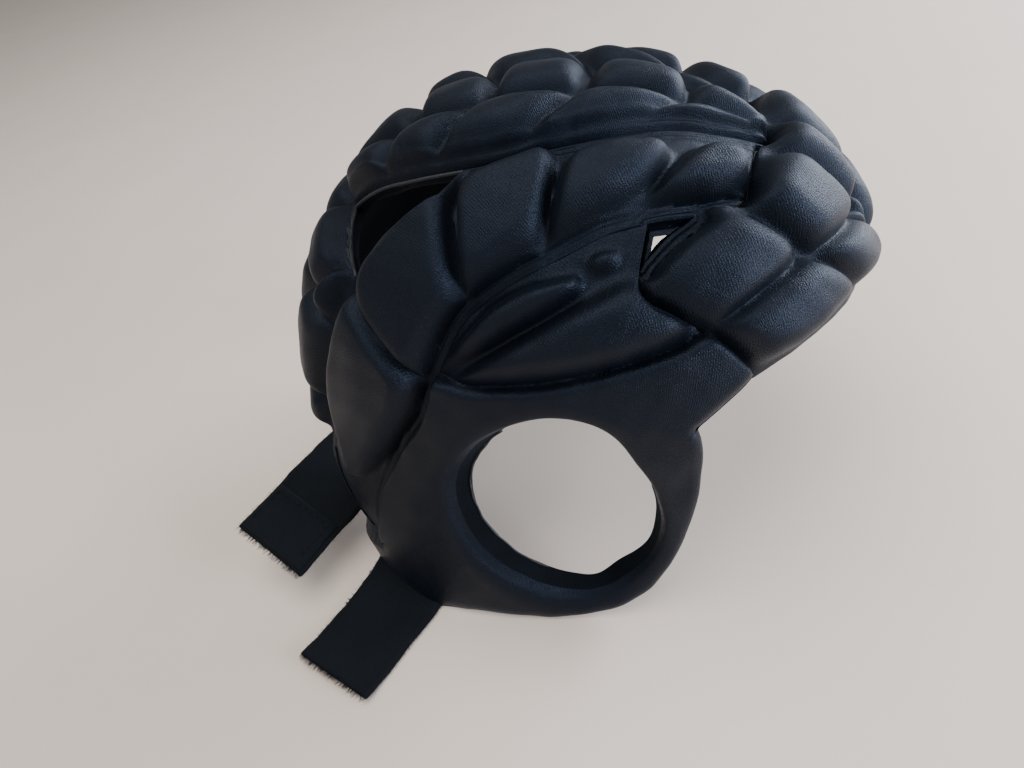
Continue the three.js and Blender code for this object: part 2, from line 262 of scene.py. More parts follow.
# Seams and edges of the right half: rows of around and out
CROWN_EDGE = Curve((
    (49, 88.4), (57, 84.5), (67, 81), (76, 77), (85, 74.5), (97, 73), (110, 75), (121, 79), (130, 82),
))
SIDE_TOP = Curve((
    (49, 88.4), (57, 84.5), (67, 81), (76, 77), (85, 74.5), (96, 72.6), (102, 68.6), (110, 65.8),
    (121, 64), (129, 64), (141, 59.4), (160, 58.6), (178, 60.4), (190, 63.4), (203, 62),
))
SIDE_BOTTOM = Curve((
    (51, 71.6), (59, 66.6), (65, 63.8), (71, 61), (80, 56), (90, 52), (103, 47), (114, 41.5),
    (128, 36), (142, 34.4), (170, 38.5), (190, 44), (203, 48.5),
))
EAR_HOLE = Curve((
    (0, 25), (30, 25), (55, 27.6), (75, 27.2), (109, 24.2), (140, 23.4), (170, 24.2), (200, 24.4),
    (230, 24.6), (260, 26.2), (280, 27.6), (303, 27.8), (330, 26.8), (360, 25),
))
LOOP_EDGE = Curve((
    (203, 62), (210, 56), (219, 47), (227, 40), (236, 35.4), (246, 33.2), (258, 31.8), (272, 31.3),
    (286, 31.6), (300, 32), (318, 31.4), (336, 31.2), (351, 32), (370, 34.6), (382, 37.2), (391, 39),
))
BAND_LIMIT = Curve((
    (47, 51.5), (49.6, 47.6), (57.2, 41.9), (68, 37), (82.7, 33.6), (100, 33.4), (110, 35.2),
    (116.6, 38.2), (119, 40.6),
))
# How far the lining's edge stands in from the rim of the ear hole: rows of around and angle
HOLE_LINING = Curve((
    (0, 0), (60, 0), (100, 0.8), (140, 2.2), (180, 2.8), (220, 2.4), (250, 1.5), (275, 0.8), (305, 0.2),
    (335, 0), (360, 0),
))
VENT_EDGE = Curve((
    (59, 51.5), (61.2, 51.9), (62.6, 52.7), (63.5, 54.2), (64.1, 56), (64.5, 58.4), (64.85, 61),
    (65.2, 63.7),
))
# Brow rim and brow top: rows of out and around
RIM = Curve(((51.5, 30), (57, 28.2), (63, 26.2), (73, 22.8), (82, 19.8), (90, 18.6)))
BROW_TOP = Curve((
    (51.5, 58.9), (51.9, 61), (52.7, 62.5), (54.2, 63.4), (56, 63.9), (57.4, 63.6), (60, 62.4), (63, 60.8),
    (65.5, 59), (67.6, 57.6), (69.6, 55), (71.6, 50.9), (78, 50.9), (86, 50.6), (88.6, 48.6), (90, 48.4),
))
TEMPLE_OUT = 51.5            # angle out of the seam between brow and ear panel
TEMPLE_FROM = 31.4           # angles around where that seam starts and ends
TEMPLE_TO = 59.0
VENT_TOP = 65.2              # angles around of the temple vent's upper end and of the nape corner
NAPE_CORNER = 203.0
CROWN_FRONT = 49.0           # angles around where the crown strip and the side panels start and end
CROWN_BACK = 129.5
SIDE_FRONT = 51.0
BACK_CORNER = 178.0          # angle around of the back panel's lower corners
BACK_ARCH = 6.0              # rise of its lower edge between them
SOLE_FROM = 243.0            # angles around between which the loop stands on the floor
SOLE_TO = 293.0
HALF_GAP = 0.06              # half of the clear angle between two panels
FRONT_RAMP = 1.5             # angles in which the ear panel's edge climbs from one course to the next
VENT_RAMP = 3.2
NAPE_RAMP = 0.7


def cap_shift() -> Array:
    """Move from the cap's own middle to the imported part's origin, in millimetres."""
    crown_low, crown_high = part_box("crown_panel")
    brow_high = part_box("brow_panel")[1]
    return np.array([(crown_low.x + crown_high.x) / 2 / MM, brow_high.y / MM - BROW_FRONT_Y, 0.0])


SHIFT = cap_shift()


def to_world(points: Array) -> Array:
    """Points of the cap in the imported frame, in metres."""
    return (points + SHIFT) * MM


def mirrored(points: Array) -> Array:
    """Points mirrored across the cap's middle plane."""
    return points * np.array([-1.0, 1.0, 1.0])


@dataclass(frozen=True)
class Ridge:
    """Rounded welt beside an edge: its distance, height and width."""

    distance: float
    height: float
    width: float

    def rise(self, length: Array) -> Array:
        """Height of the welt at lengths from the edge."""
        return self.height * np.exp(-(((length - self.distance) / self.width) ** 2))


@dataclass(frozen=True)
class Edge:
    """End of a panel: wall height, run of the rounding, flat flange, bulge of the wall and welts."""

    lift: float
    run: float
    flat: float = 0.0
    bulge: float = 0.0
    ridges: tuple[Ridge, ...] = ()

    def trim(self, lift: Array, length: Array) -> Array:
        """Wall heights after the edge has pulled them down.

        Args:
            lift: Wall heights before.
            length: Lengths to the edge.

        Returns:
            Wall heights with the rounding and the welts.
        """
        share = rounded(length - self.flat, self.run)
        pulled = np.minimum(lift, self.lift + (lift - self.lift) * share)
        return pulled + sum(ridge.rise(length) for ridge in self.ridges)


@dataclass(frozen=True)
class Cell:
    """Foam cell: height above the flat knit, run of its rounding, and corners as places on the chart."""

    height: float
    run: float
    corners: tuple[Place, ...]
    runs: tuple[float, ...] = ()  # run of each side, from the corner it starts at; none for all alike
    soft: float = 1.6            # rounding of the corners
    grow: float = 1.3            # how far the foot stands out past the corners
    foot: float = 0.07           # share of the run over which the foot eases into the flat knit

    def rise(self, rays: Array) -> Array:
        """Height of the cell above the flat knit in each direction."""
        tips = direction(*np.array(self.corners, float).T)
        sides = np.cross(tips, np.roll(tips, -1, axis=0))
        sides /= np.linalg.norm(sides, axis=1)[:, None]
        sides *= np.sign(sides @ tips.mean(axis=0))[:, None]
        inside = CAP_RADIUS * np.arcsin(np.clip(rays @ sides.T, -1.0, 1.0))
        shares = (inside + self.grow) / np.array(self.runs or (self.run,) * len(tips))
        soft = self.soft / self.run
        depth = -soft * np.log(np.exp(-shares / soft).sum(axis=1))
        return self.height * rounded(self.foot * np.logaddexp(0.0, depth / self.foot), 1.0)


CROWN_CELLS = (
    Cell(10.2, 8, ((128.2, 83.4), (128.2, 87.4), (112.8, 84.8), (117.8, 79), (123, 81.2))),
    Cell(10.2, 8, ((115.4, 78.2), (110.4, 84), (98.4, 83.9), (104.6, 75.6), (110, 76.8))),
    Cell(10.2, 8, ((103, 75.4), (96.6, 83.9), (81.4, 84.2), (88.4, 75.9), (96, 75))),
    Cell(10.2, 8, ((86.8, 76.1), (79.4, 84.2), (66, 85.9), (71.6, 80.8), (78, 78))),
    Cell(9, 7, ((69.4, 82), (63.6, 86.4), (53, 88.4), (57, 86.2), (63, 84.2))),
    Cell(10.2, 8, ((127.6, 88.6), (127.6, 91.4), (111.2, 94.2), (111.2, 85.8))),
    Cell(10.2, 8, ((109.4, 85.5), (109.4, 94.5), (97.4, 94.6), (97.4, 85.4))),
    Cell(10.2, 8, ((94.8, 85.4), (94.8, 94.6), (81.4, 94.4), (81.4, 85.6))),
    Cell(10, 8, ((78.8, 85.7), (78.8, 94.3), (65.2, 92.8), (65.2, 87.2))),
    Cell(8.8, 7, ((63.2, 87.5), (63.2, 92.5), (51, 90.6), (51, 89.4))),
)
SIDE_CELLS = (
    Cell(8.4, 5, ((65.2, 66.6), (62.2, 75.4), (59.8, 78.2), (54.2, 79.4), (53, 78.2), (53.6, 71.8),
                  (58.9, 68.2)), runs=(5, 5, 5, 4, 4.5, 6, 7)),
    Cell(8.6, 5, ((81.2, 58.4), (80.6, 70.6), (78.8, 72.6), (66, 76.2), (65, 75.2), (68, 67),
                  (71, 64)), runs=(4.5, 5, 5.5, 5, 5.5, 7, 9)),
    Cell(8.6, 5, ((100.2, 47.8), (99.8, 58), (99.4, 67.4), (97.6, 69.2), (84, 72.8), (82.8, 71.4),
                  (84.4, 57)), runs=(4.5, 4.5, 4.5, 5.5, 4.5, 4.5, 9)),
    Cell(8.8, 5, ((101.8, 68.6), (108.2, 66), (117.2, 63.8), (121.5, 62.4), (126.6, 56), (121.6, 39.4),
                  (102.2, 48)), runs=(5, 5, 5, 5, 5, 8, 4.5)),
    Cell(8.6, 4, ((105, 65.2), (103.5, 67.6), (99, 69.8), (96, 70.6), (96, 68), (100, 66.6)), grow=1.6),
    Cell(8.8, 5.5, ((127, 59.8), (138, 57), (154, 54.6), (180, 47.6), (168, 40.8), (140, 36.6),
                    (125.8, 39))),
)
BACK_CELLS = (
    Cell(8.6, 7, ((131, 68), (131, 82.4), (139.8, 82.4), (139.8, 68))),
    Cell(8.6, 7, ((131, 84.6), (131, 95.4), (139.8, 95.4), (139.8, 84.6))),
    Cell(9.5, 6, ((130.8, 65), (131.4, 66.4), (139.4, 66.2), (141.2, 64), (140.6, 61.8), (135, 63))),
    Cell(8.6, 7, ((142.8, 61.4), (142.8, 71.8), (162.6, 72.6), (164.2, 60.6))),
    Cell(7, 6, ((167.4, 60.8), (166.2, 72.6), (172.2, 73), (174.6, 62))),
    Cell(8.6, 7, ((142.8, 74.8), (142.8, 105.2), (155.6, 104.8), (155.6, 75.2))),
    Cell(8, 7, ((158.4, 75.4), (158.4, 104.6), (169.4, 104.6), (169.4, 75.4))),
)
BROW_CELLS = (
    Cell(10.4, 7.5, ((48, 86.2), (48, 93.8), (32.8, 93), (32.8, 87))),
    Cell(9.6, 7, ((50, 71.8), (49.8, 80.5), (47.6, 84.2), (33.4, 85.2), (33, 83), (38.4, 71.4),
                  (41.2, 70.6))),
    Cell(9, 5, ((31, 86.6), (30, 89.4), (23, 89.5))),
    Cell(9.8, 7, ((36.2, 72.2), (31.4, 85), (23, 87.6), (21.6, 86), (23.2, 80), (26, 75))),
    Cell(8.4, 6.5, ((64.4, 54.2), (62.6, 57.8), (53.4, 68), (42.2, 68.6), (41, 67), (47.8, 52.6),
                    (57, 51.9)), runs=(15, 8, 6.5, 6.5, 5, 9, 16), foot=0.13),
    Cell(9, 7, ((45.4, 53.2), (39.6, 67.4), (37, 69.8), (27, 73.4), (31.4, 56), (33.6, 53.2))),
)
EAR_CELLS = (
    Cell(8.4, 7, ((112.5, 36.6), (95, 40.8), (78.3, 47), (70.3, 51.2), (66.2, 54), (50.6, 51.4),
                  (50, 49.4), (53.4, 45.6), (62.4, 40), (75.3, 35.8), (91.6, 34.5)),
         runs=(6, 6, 6, 8, 10, 9, 7, 7, 7, 7, 7), grow=0.5, foot=0.12),
    Cell(7.4, 4.4, ((107.8, 41.6), (95.3, 47.4), (86.1, 50.5), (76.2, 52.4), (75, 51.6), (77.4, 48.8),
                    (87.6, 44.3), (105.5, 40.3)),
         runs=(4.4, 4.4, 4.4, 4.4, 4.4, 4.4, 4.4, 12), soft=0.9, grow=0.6, foot=0.12),
    Cell(3.4, 3.8, ((73.8, 55.5), (71.8, 57.3), (69.4, 57.6), (68.4, 56.8), (69.6, 55.3), (72.4, 54.7)),
         soft=0.9, grow=0.8),
)


class Shell:
    """Closed wall between an outer and an inner grid of points, with a bulged strip along its border."""

    WALL_ROWS = 3
    WALL_RIB = 0.8               # rib length that each row of the border wall adds
    RING_STRETCH = 1.5           # rib lengths round a ring against those round its hole
    CREASE = math.radians(48.0)

    def __init__(self, outer: Array, inner: Array, ring: bool) -> None:
        """Keeps the grids, each (columns, rows, 3); a ring's columns close on themselves."""
        self.outer = outer
        self.inner = inner
        self.ring = ring
        self.columns, self.rows = outer.shape[:2]

    def at(self, i: Array, j: Array) -> Array:
        """Vertex numbers of the outer grid."""
        return (np.asarray(i) % self.columns) * self.rows + np.asarray(j)

    def borders(self) -> list[tuple[Array, Array]]:
        """Border vertices in order and their neighbours inside, one pair of arrays for each border."""
        last_i, last_j = self.columns - 1, self.rows - 1
        i_all = np.arange(self.columns)
        if self.ring:
            back = i_all[::-1]
            return [
                (self.at(i_all, 0), self.at(i_all, 1)),
                (self.at(back, last_j), self.at(back, last_j - 1)),
            ]
        j_inner = np.arange(1, last_j)
        i = np.concatenate([i_all, np.full(last_j - 1, last_i), i_all[::-1], np.zeros(last_j - 1, int)])
        first, last = np.zeros(self.columns, int), np.full(self.columns, last_j)
        j = np.concatenate([first, j_inner, last, j_inner[::-1]])
        return [(self.at(i, j), self.at(np.clip(i, 1, last_i - 1), np.clip(j, 1, last_j - 1)))]

    def mesh_arrays(self, bulge: Array) -> tuple[Array, Array, Array]:
        """Points, faces and lining marks of the shell.

        Args:
            bulge: How far the border wall swells outwards at each vertex of the outer grid.

        Returns:
            Points, faces of four corners, and for each face 1 where it is lining and 0 elsewhere.
        """
        outer = self.outer.reshape(-1, 3)
        inner = self.inner.reshape(-1, 3)
        count = len(outer)
        spans = self.columns if self.ring else self.columns - 1
        i = np.repeat(np.arange(spans), self.rows - 1)
        j = np.tile(np.arange(self.rows - 1), spans)
        corners = ((0, 0), (1, 0), (1, 1), (0, 1))
        top = np.stack([self.at(i + right, j + up) for right, up in corners], axis=1)
        points = [outer, inner]
        faces = [top, top[:, ::-1] + count]
        used = 2 * count
        for border, inside in self.borders():
            away = outer[border] - outer[inside]
            away /= np.maximum(np.linalg.norm(away, axis=1), TINY)[:, None]
            above = border
            for row in range(1, self.WALL_ROWS + 1):
                share = row / (self.WALL_ROWS + 1)
                swell = (bulge[border] * math.sin(math.pi * share))[:, None]
                points.append(outer[border] * (1 - share) + inner[border] * share + away * swell)
                below = used + np.arange(len(border))
                faces.append(self.strip(above, below))
                above = below
                used += len(border)
            faces.append(self.strip(above, border + count))
        marks = np.zeros(sum(map(len, faces)), int)
        marks[len(top):2 * len(top)] = 1
        # The ear hole's wall rows take the lining, whose darkened tone paints the shade on that wall.
        if self.ring:
            below_rim = 2 * len(top) + self.columns
            marks[below_rim:below_rim + self.WALL_ROWS * self.columns] = 1
        return np.concatenate(points), np.concatenate(faces), marks

    @staticmethod
    def strip(above: Array, below: Array) -> Array:
        """Faces of a closed strip between two rows of vertices."""
        return np.stack([np.roll(above, -1), above, below, np.roll(below, -1)], axis=1)

    def girth(self) -> float:
        """Rib length once round a ring, a whole number of ribs."""
        line = self.outer[:, 0]
        length = np.linalg.norm(line - np.roll(line, 1, axis=0), axis=1).sum()
        return round(self.RING_STRETCH * length / KnitFinish.PERIOD) * KnitFinish.PERIOD

    def weave(self) -> Array:
        """Lengths along and across the grid in millimetres, for the knit's ribs."""
        row = 0 if self.ring else self.rows // 2
        steps = np.linalg.norm(np.diff(self.outer[:, row], axis=0), axis=1)
        along = np.concatenate([[0.0], np.cumsum(steps)])
        if self.ring:
            closing = np.linalg.norm(self.outer[0, 0] - self.outer[-1, 0])
            along *= self.girth() / (along[-1] + closing)
        widths = np.linalg.norm(np.diff(self.outer, axis=1), axis=2)
        across = np.concatenate([np.zeros((self.columns, 1)), np.cumsum(widths, axis=1)], axis=1)
        if not self.ring:
            across -= across[:, -1:] / 2
        along = np.repeat(along[:, None], self.rows, axis=1)
        return np.stack([along, across], axis=-1).reshape(-1, 2)


def facing_out(points: Array, faces: Array) -> Array:
    """Faces of a closed mesh, turned so that they face outwards."""
    a, b, c = points[faces[:, 0]], points[faces[:, 1]], points[faces[:, 2]]
    d = points[faces[:, -1]]
    volume = (a * np.cross(b, c)).sum() + (a * np.cross(c, d)).sum()
    return faces if volume > 0 else faces[:, ::-1]


def mesh_object(
    name: str, points: Array, faces: list[list[int]], weave: Array | None = None, creased: bool = True,
) -> bpy.types.Object:
    """Smooth mesh object in the scene.

    Args:
        name: Piece name.
        points: Vertices in metres.
        faces: Vertex numbers of each face.
        weave: Rib coordinates of each face corner, if the finish needs them.
        creased: Whether steep edges stay sharp.

    Returns:
        The new object.
    """
    mesh = bpy.data.meshes.new(name)
    mesh.from_pydata(points.tolist(), [], faces)
    mesh.polygons.foreach_set("use_smooth", np.ones(len(faces), bool))
    if weave is not None:
        layer = mesh.uv_layers.new(name=WEAVE_UV)
        layer.data.foreach_set("uv", weave.astype(np.float32).ravel())
    if creased:
        mesh.set_sharp_from_angle(angle=Shell.CREASE)
    piece = bpy.data.objects.new(name, mesh)
    bpy.context.scene.collection.objects.link(piece)
    return piece


def tie(piece: bpy.types.Object, slot: Slot) -> None:
    """Lets a piece ride on the cap's one body."""
    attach(piece, "root")


class Board:
    """Node tree of one material, with short calls to add and join nodes."""

    MIX_SHARE = 0                # sockets of a Mix node that blends colours
    MIX_LOW = 6
    MIX_HIGH = 7
    MIX_OUT = 2

    def __init__(self, name: str) -> None:
        """Makes the material with its shader."""
        self.material = bpy.data.materials.new(name)
        self.material.use_nodes = True
        self.tree = self.material.node_tree
        self.shader = self.tree.nodes["Principled BSDF"]

    def add(self, kind: str, inputs: dict | None = None, **settings: object) -> bpy.types.Node:
        """Adds a node.

        Args:
            kind: Node type without its ShaderNode prefix.
            inputs: Values or output sockets for the node's inputs.
            settings: Attributes of the node.

        Returns:
            The new node.
        """
        node = self.tree.nodes.new("ShaderNode" + kind)
        for key, value in settings.items():
            setattr(node, key, value)
        for key, value in (inputs or {}).items():
            self.join(value, node.inputs[key])
        return node

    def join(self, value: object, socket: Socket) -> None:
        """Sets an input to a value, or links it to an output socket."""
        if isinstance(value, Socket):
            self.tree.links.new(value, socket)
        else:
            socket.default_value = value

    def shade(self, **inputs: object) -> None:
        """Sets the shader's inputs; underscores in names stand for spaces."""
        for key, value in inputs.items():
            self.join(value, self.shader.inputs[key.replace("_", " ")])

    def place(self) -> Socket:
        """Place of the shaded point in metres."""
        return self.add("TexCoord").outputs["Object"]

    def weave(self) -> Socket:
        """Lengths along and across the cloth in millimetres."""
        return self.add("UVMap", uv_map=WEAVE_UV).outputs["UV"]

    def noise(self, vector: Socket, scale: float, detail: float) -> Socket:
        """Noise over a vector, with its grains in a unit of length and its detail."""
        return self.add("TexNoise", {"Vector": vector, "Scale": scale, "Detail": detail}).outputs["Fac"]

    def bump(self, height: Socket, distance: float, strength: float) -> Socket:
        """Normal bent by a relief of the given depth in metres."""
        inputs = {"Height": height, "Distance": distance, "Strength": strength}
        return self.add("Bump", inputs).outputs["Normal"]

    def blend(self, share: object, low: Colour, high: Colour) -> Socket:
        """Colour between two colours by a share."""
        node = self.add("Mix", data_type="RGBA")
        self.join(share, node.inputs[self.MIX_SHARE])
        node.inputs[self.MIX_LOW].default_value = (*low, 1.0)
        node.inputs[self.MIX_HIGH].default_value = (*high, 1.0)
        return node.outputs[self.MIX_OUT]

    def scale(self, value: Socket, low: float, high: float) -> Socket:
        """Value from 0 to 1, spread between two limits."""
        node = self.add("MapRange", {"Value": value, "To Min": low, "To Max": high})
        return node.outputs["Result"]

    def stretch(self, value: Socket, low: float, high: float) -> Socket:
        """Value with two limits drawn apart to 0 and 1."""
        node = self.add("MapRange", {"Value": value, "From Min": low, "From Max": high})
        return node.outputs["Result"]

    def plus(self, first: Socket, second: Socket, share: float) -> Socket:
        """First value plus a share of the second."""
        node = self.add("Math", operation="MULTIPLY_ADD")
        self.join(second, node.inputs[0])
        node.inputs[1].default_value = share
        self.join(first, node.inputs[2])
        return node.outputs[0]


@dataclass(frozen=True)
class KnitFinish:
    """Stretch knit: slanted ribs of short glossy stitches in near-black yarn."""

    name: str = "stretch_knit"
    dark: Colour = (0.0009, 0.0013, 0.0024)
    pale: Colour = (0.0023, 0.0035, 0.0064)
    RIB: ClassVar[float] = 0.7   # width of one rib in millimetres
    SLANT: ClassVar[float] = math.radians(34.0)
    PERIOD: ClassVar[float] = RIB / math.cos(SLANT)
    WAVE_TURN: ClassVar[float] = 20.0  # turn of the wave texture in one unit of length at scale 1
    rib_depth: float = 0.0001
    roughness: Span = (0.34, 0.52)
    sheen: float = 0.025
    sheen_tint: Colour = (0.5, 0.66, 1.0)
    gloss_tint: Colour = (0.56, 0.70, 1.0)

    def material(self) -> bpy.types.Material:
        """Makes the node material."""
        board = Board(self.name)
        weave = board.weave()
        turned = board.add("Mapping", {"Vector": weave, "Rotation": (0.0, 0.0, self.SLANT)})
        waves = {
            "Vector": turned.outputs["Vector"], "Scale": 2.0 * math.pi / (self.WAVE_TURN * self.RIB),
            "Distortion": 1.8, "Detail": 2.0, "Detail Scale": 2.5,
        }
        rib = board.add("TexWave", waves, wave_type="BANDS").outputs["Fac"]
        stitches = board.stretch(board.noise(weave, scale=2.3, detail=1.0), low=0.32, high=0.68)
        patches = board.noise(board.place(), scale=60.0, detail=4.0)
        relief = board.plus(stitches, rib, share=0.4)
        tone = board.plus(board.scale(stitches, low=-0.1, high=0.55), patches, share=0.6)
        base_gloss = board.scale(patches, *self.roughness)
        gloss = board.plus(board.scale(stitches, low=0.1, high=-0.1), base_gloss, share=1.0)
        board.shade(
            Base_Color=board.blend(tone, self.dark, self.pale), Roughness=gloss,
            Normal=board.bump(relief, self.rib_depth, strength=0.9),
            Sheen_Weight=self.sheen, Sheen_Roughness=0.35, Sheen_Tint=(*self.sheen_tint, 1.0),
            Specular_IOR_Level=0.22, Specular_Tint=(*self.gloss_tint, 1.0),
        )
        return board.material


@dataclass(frozen=True)
class ClothFinish:
    """Plain cloth between a dark and a pale tone, with a fine relief and a faint sheen."""

    name: str
    dark: Colour
    pale: Colour
    roughness: float
    gloss: float
    depth: float                 # of the relief, in metres
    strength: float
    sheen: float
    sheen_roughness: float
    sheen_tint: Colour

    def pattern(self, board: Board) -> tuple[Socket, Socket]:
        """Share of the pale tone, and height of the relief."""
        raise NotImplementedError

    def material(self) -> bpy.types.Material:
        """Makes the node material."""
        board = Board(self.name)
        tone, relief = self.pattern(board)
        board.shade(
            Base_Color=board.blend(tone, self.dark, self.pale),
            Normal=board.bump(relief, self.depth, self.strength),
            Roughness=self.roughness, Specular_IOR_Level=self.gloss, Sheen_Weight=self.sheen,
            Sheen_Roughness=self.sheen_roughness, Sheen_Tint=(*self.sheen_tint, 1.0),
        )
        return board.material


@dataclass(frozen=True)
class LiningFinish(ClothFinish):
    """Brushed lining inside the cap, matt and fuzzy. Its tone is darkened to near-black as painted shade
    for the wall round the ear hole.
    """

    name: str = "brushed_lining_painted_shade"
    # painted shade: both tones sit below the lining's own blue-grey so that the wall round the ear hole
    # reads as shaded
    dark: Colour = (0.0012, 0.0017, 0.0026)
    pale: Colour = (0.004, 0.0055, 0.008)
    roughness: float = 0.95
    gloss: float = 0.06
    depth: float = 0.0004
    strength: float = 0.8
    sheen: float = 0.03
    sheen_roughness: float = 0.5
    sheen_tint: Colour = (0.7, 0.82, 1.0)

    def pattern(self, board: Board) -> tuple[Socket, Socket]:
        """Clouds of tone under a raised fuzz."""
        place = board.place()
        fuzz = board.noise(place, scale=900.0, detail=3.0)
        clouds = board.noise(place, scale=70.0, detail=4.0)
        return board.plus(clouds, fuzz, share=0.35), fuzz


@dataclass(frozen=True)
class WebbingFinish(ClothFinish):
    """Hook-and-loop webbing: matt black pile with a faint cross rib."""

    name: str = "pile_webbing"
    dark: Colour = (0.0014, 0.0018, 0.0026)
    pale: Colour = (0.0055, 0.007, 0.0095)
    roughness: float = 0.92
    gloss: float = 0.12
    depth: float = 0.00025
    strength: float = 0.8
    sheen: float = 0.03
    sheen_roughness: float = 0.6
    sheen_tint: Colour = (0.6, 0.75, 1.0)

    def pattern(self, board: Board) -> tuple[Socket, Socket]:
        """Worn patches of tone, and a relief of pile, tufts and woven rows."""
        place = board.place()
        pile = board.noise(place, scale=3200.0, detail=3.0)
        tufts = board.add("TexVoronoi", {"Vector": place, "Scale": 2300.0}).outputs["Distance"]
        waves = {"Vector": board.weave(), "Scale": 0.3, "Distortion": 1.5}
        rows = board.add("TexWave", waves).outputs["Fac"]
        worn = board.noise(place, scale=55.0, detail=4.0)
        tone = board.plus(board.scale(pile, low=-0.25, high=0.55), worn, share=0.7)
        return tone, board.plus(board.plus(pile, tufts, share=0.8), rows, share=0.25)


@dataclass(frozen=True)
class ThreadFinish(ClothFinish):
    """Thread of cut edges and loose ends, a little paler than the knit."""

    name: str = "hem_yarn"
    dark: Colour = (0.008, 0.0095, 0.012)
    pale: Colour = (0.045, 0.052, 0.064)
    roughness: float = 0.55
    gloss: float = 0.3
    depth: float = 0.0002
    strength: float = 0.7
    sheen: float = 0.05
    sheen_roughness: float = 0.4
    sheen_tint: Colour = (0.8, 0.88, 1.0)

    def pattern(self, board: Board) -> tuple[Socket, Socket]:
        """Twist of the yarn, as tone and as relief."""
        twist = board.noise(board.place(), scale=800.0, detail=3.0)
        return twist, twist


@dataclass(frozen=True)
class FloorFinish:
    """Plain pale floor with a very faint mottle."""

    name: str = "pale_floor"
    low: Colour = (0.67, 0.57, 0.49)
    high: Colour = (0.73, 0.62, 0.535)

    def material(self) -> bpy.types.Material:
        """Makes the node material."""
        board = Board(self.name)
        mottle = board.noise(board.place(), scale=14.0, detail=5.0)
        tone = board.blend(mottle, self.low, self.high)
        board.shade(Base_Color=tone, Roughness=0.6, Specular_IOR_Level=0.3)
        return board.material


@dataclass
class Finishes:
    """The materials that the pieces share."""

    knit: bpy.types.Material = field(default_factory=lambda: KnitFinish().material())
    lining: bpy.types.Material = field(default_factory=lambda: LiningFinish().material())
    webbing: bpy.types.Material = field(default_factory=lambda: WebbingFinish().material())
    thread: bpy.types.Material = field(default_factory=lambda: ThreadFinish().material())
    floor: bpy.types.Material = field(default_factory=lambda: FloorFinish().material())


FLAT_SEAM = Edge(3.2, 4.5)
WELTED_SEAM = Edge(3.2, 4.0, ridges=(Ridge(1.3, 0.8, 0.75), Ridge(3.6, 0.55, 0.85)))
SIDE_SEAM = Edge(3.6, 6.5, flat=3.2, ridges=(Ridge(1.6, 0.45, 0.7), Ridge(3.8, 0.4, 0.8)))
EAR_SEAM = Edge(3.4, 3.6)
TEMPLE_FOLD = Edge(5.2, 2.6)
TEMPLE_TIP = Edge(5.0, 2.2)
ROLLED_RIM = Edge(4.2, 6.0, bulge=0.9)
VENT_RIM = Edge(3.0, 3.5, flat=3.8, bulge=1.2, ridges=(Ridge(1.0, 0.7, 0.6), Ridge(3.2, 0.7, 0.7)))


def chart_angles(rays: Array) -> tuple[Array, Array]:
    """Angles around and out of unit directions, in degrees."""
    around = np.degrees(np.arctan2(rays[:, 2], rays[:, 1])) % 360.0
    return around, np.degrees(np.arccos(np.clip(rays[:, 0], -1.0, 1.0)))


def temple_vent() -> Array:
    """Directions along the rim of the almond opening at the right temple."""
    return np.concatenate([
        BROW_TOP.line(56.6, 66.6, 60, by_out=True),
        VENT_EDGE.line(64.2, VENT_TOP, 40),
        SIDE_BOTTOM.line(58.4, VENT_TOP, 40),
    ])


def eased(heights: Array, both_ways: bool, passes: int = 3) -> Array:
    """Heights of a grid, evened out with their neighbours.

    Args:
        heights: Grid of heights, (columns, rows).
        both_ways: Whether they are evened out from column to column too.
        passes: How often the heights are evened out.

    Returns:
        The new heights.
    """
    for _ in range(passes):
        if both_ways:
            wide = np.pad(heights, ((1, 1), (0, 0)), mode="edge")
            heights = (wide[:-2] + 2 * wide[1:-1] + wide[2:]) / 4
        wide = np.pad(heights, ((0, 0), (1, 1)), mode="edge")
        heights = (wide[:, :-2] + 2 * wide[:, 1:-1] + wide[:, 2:]) / 4
    return heights


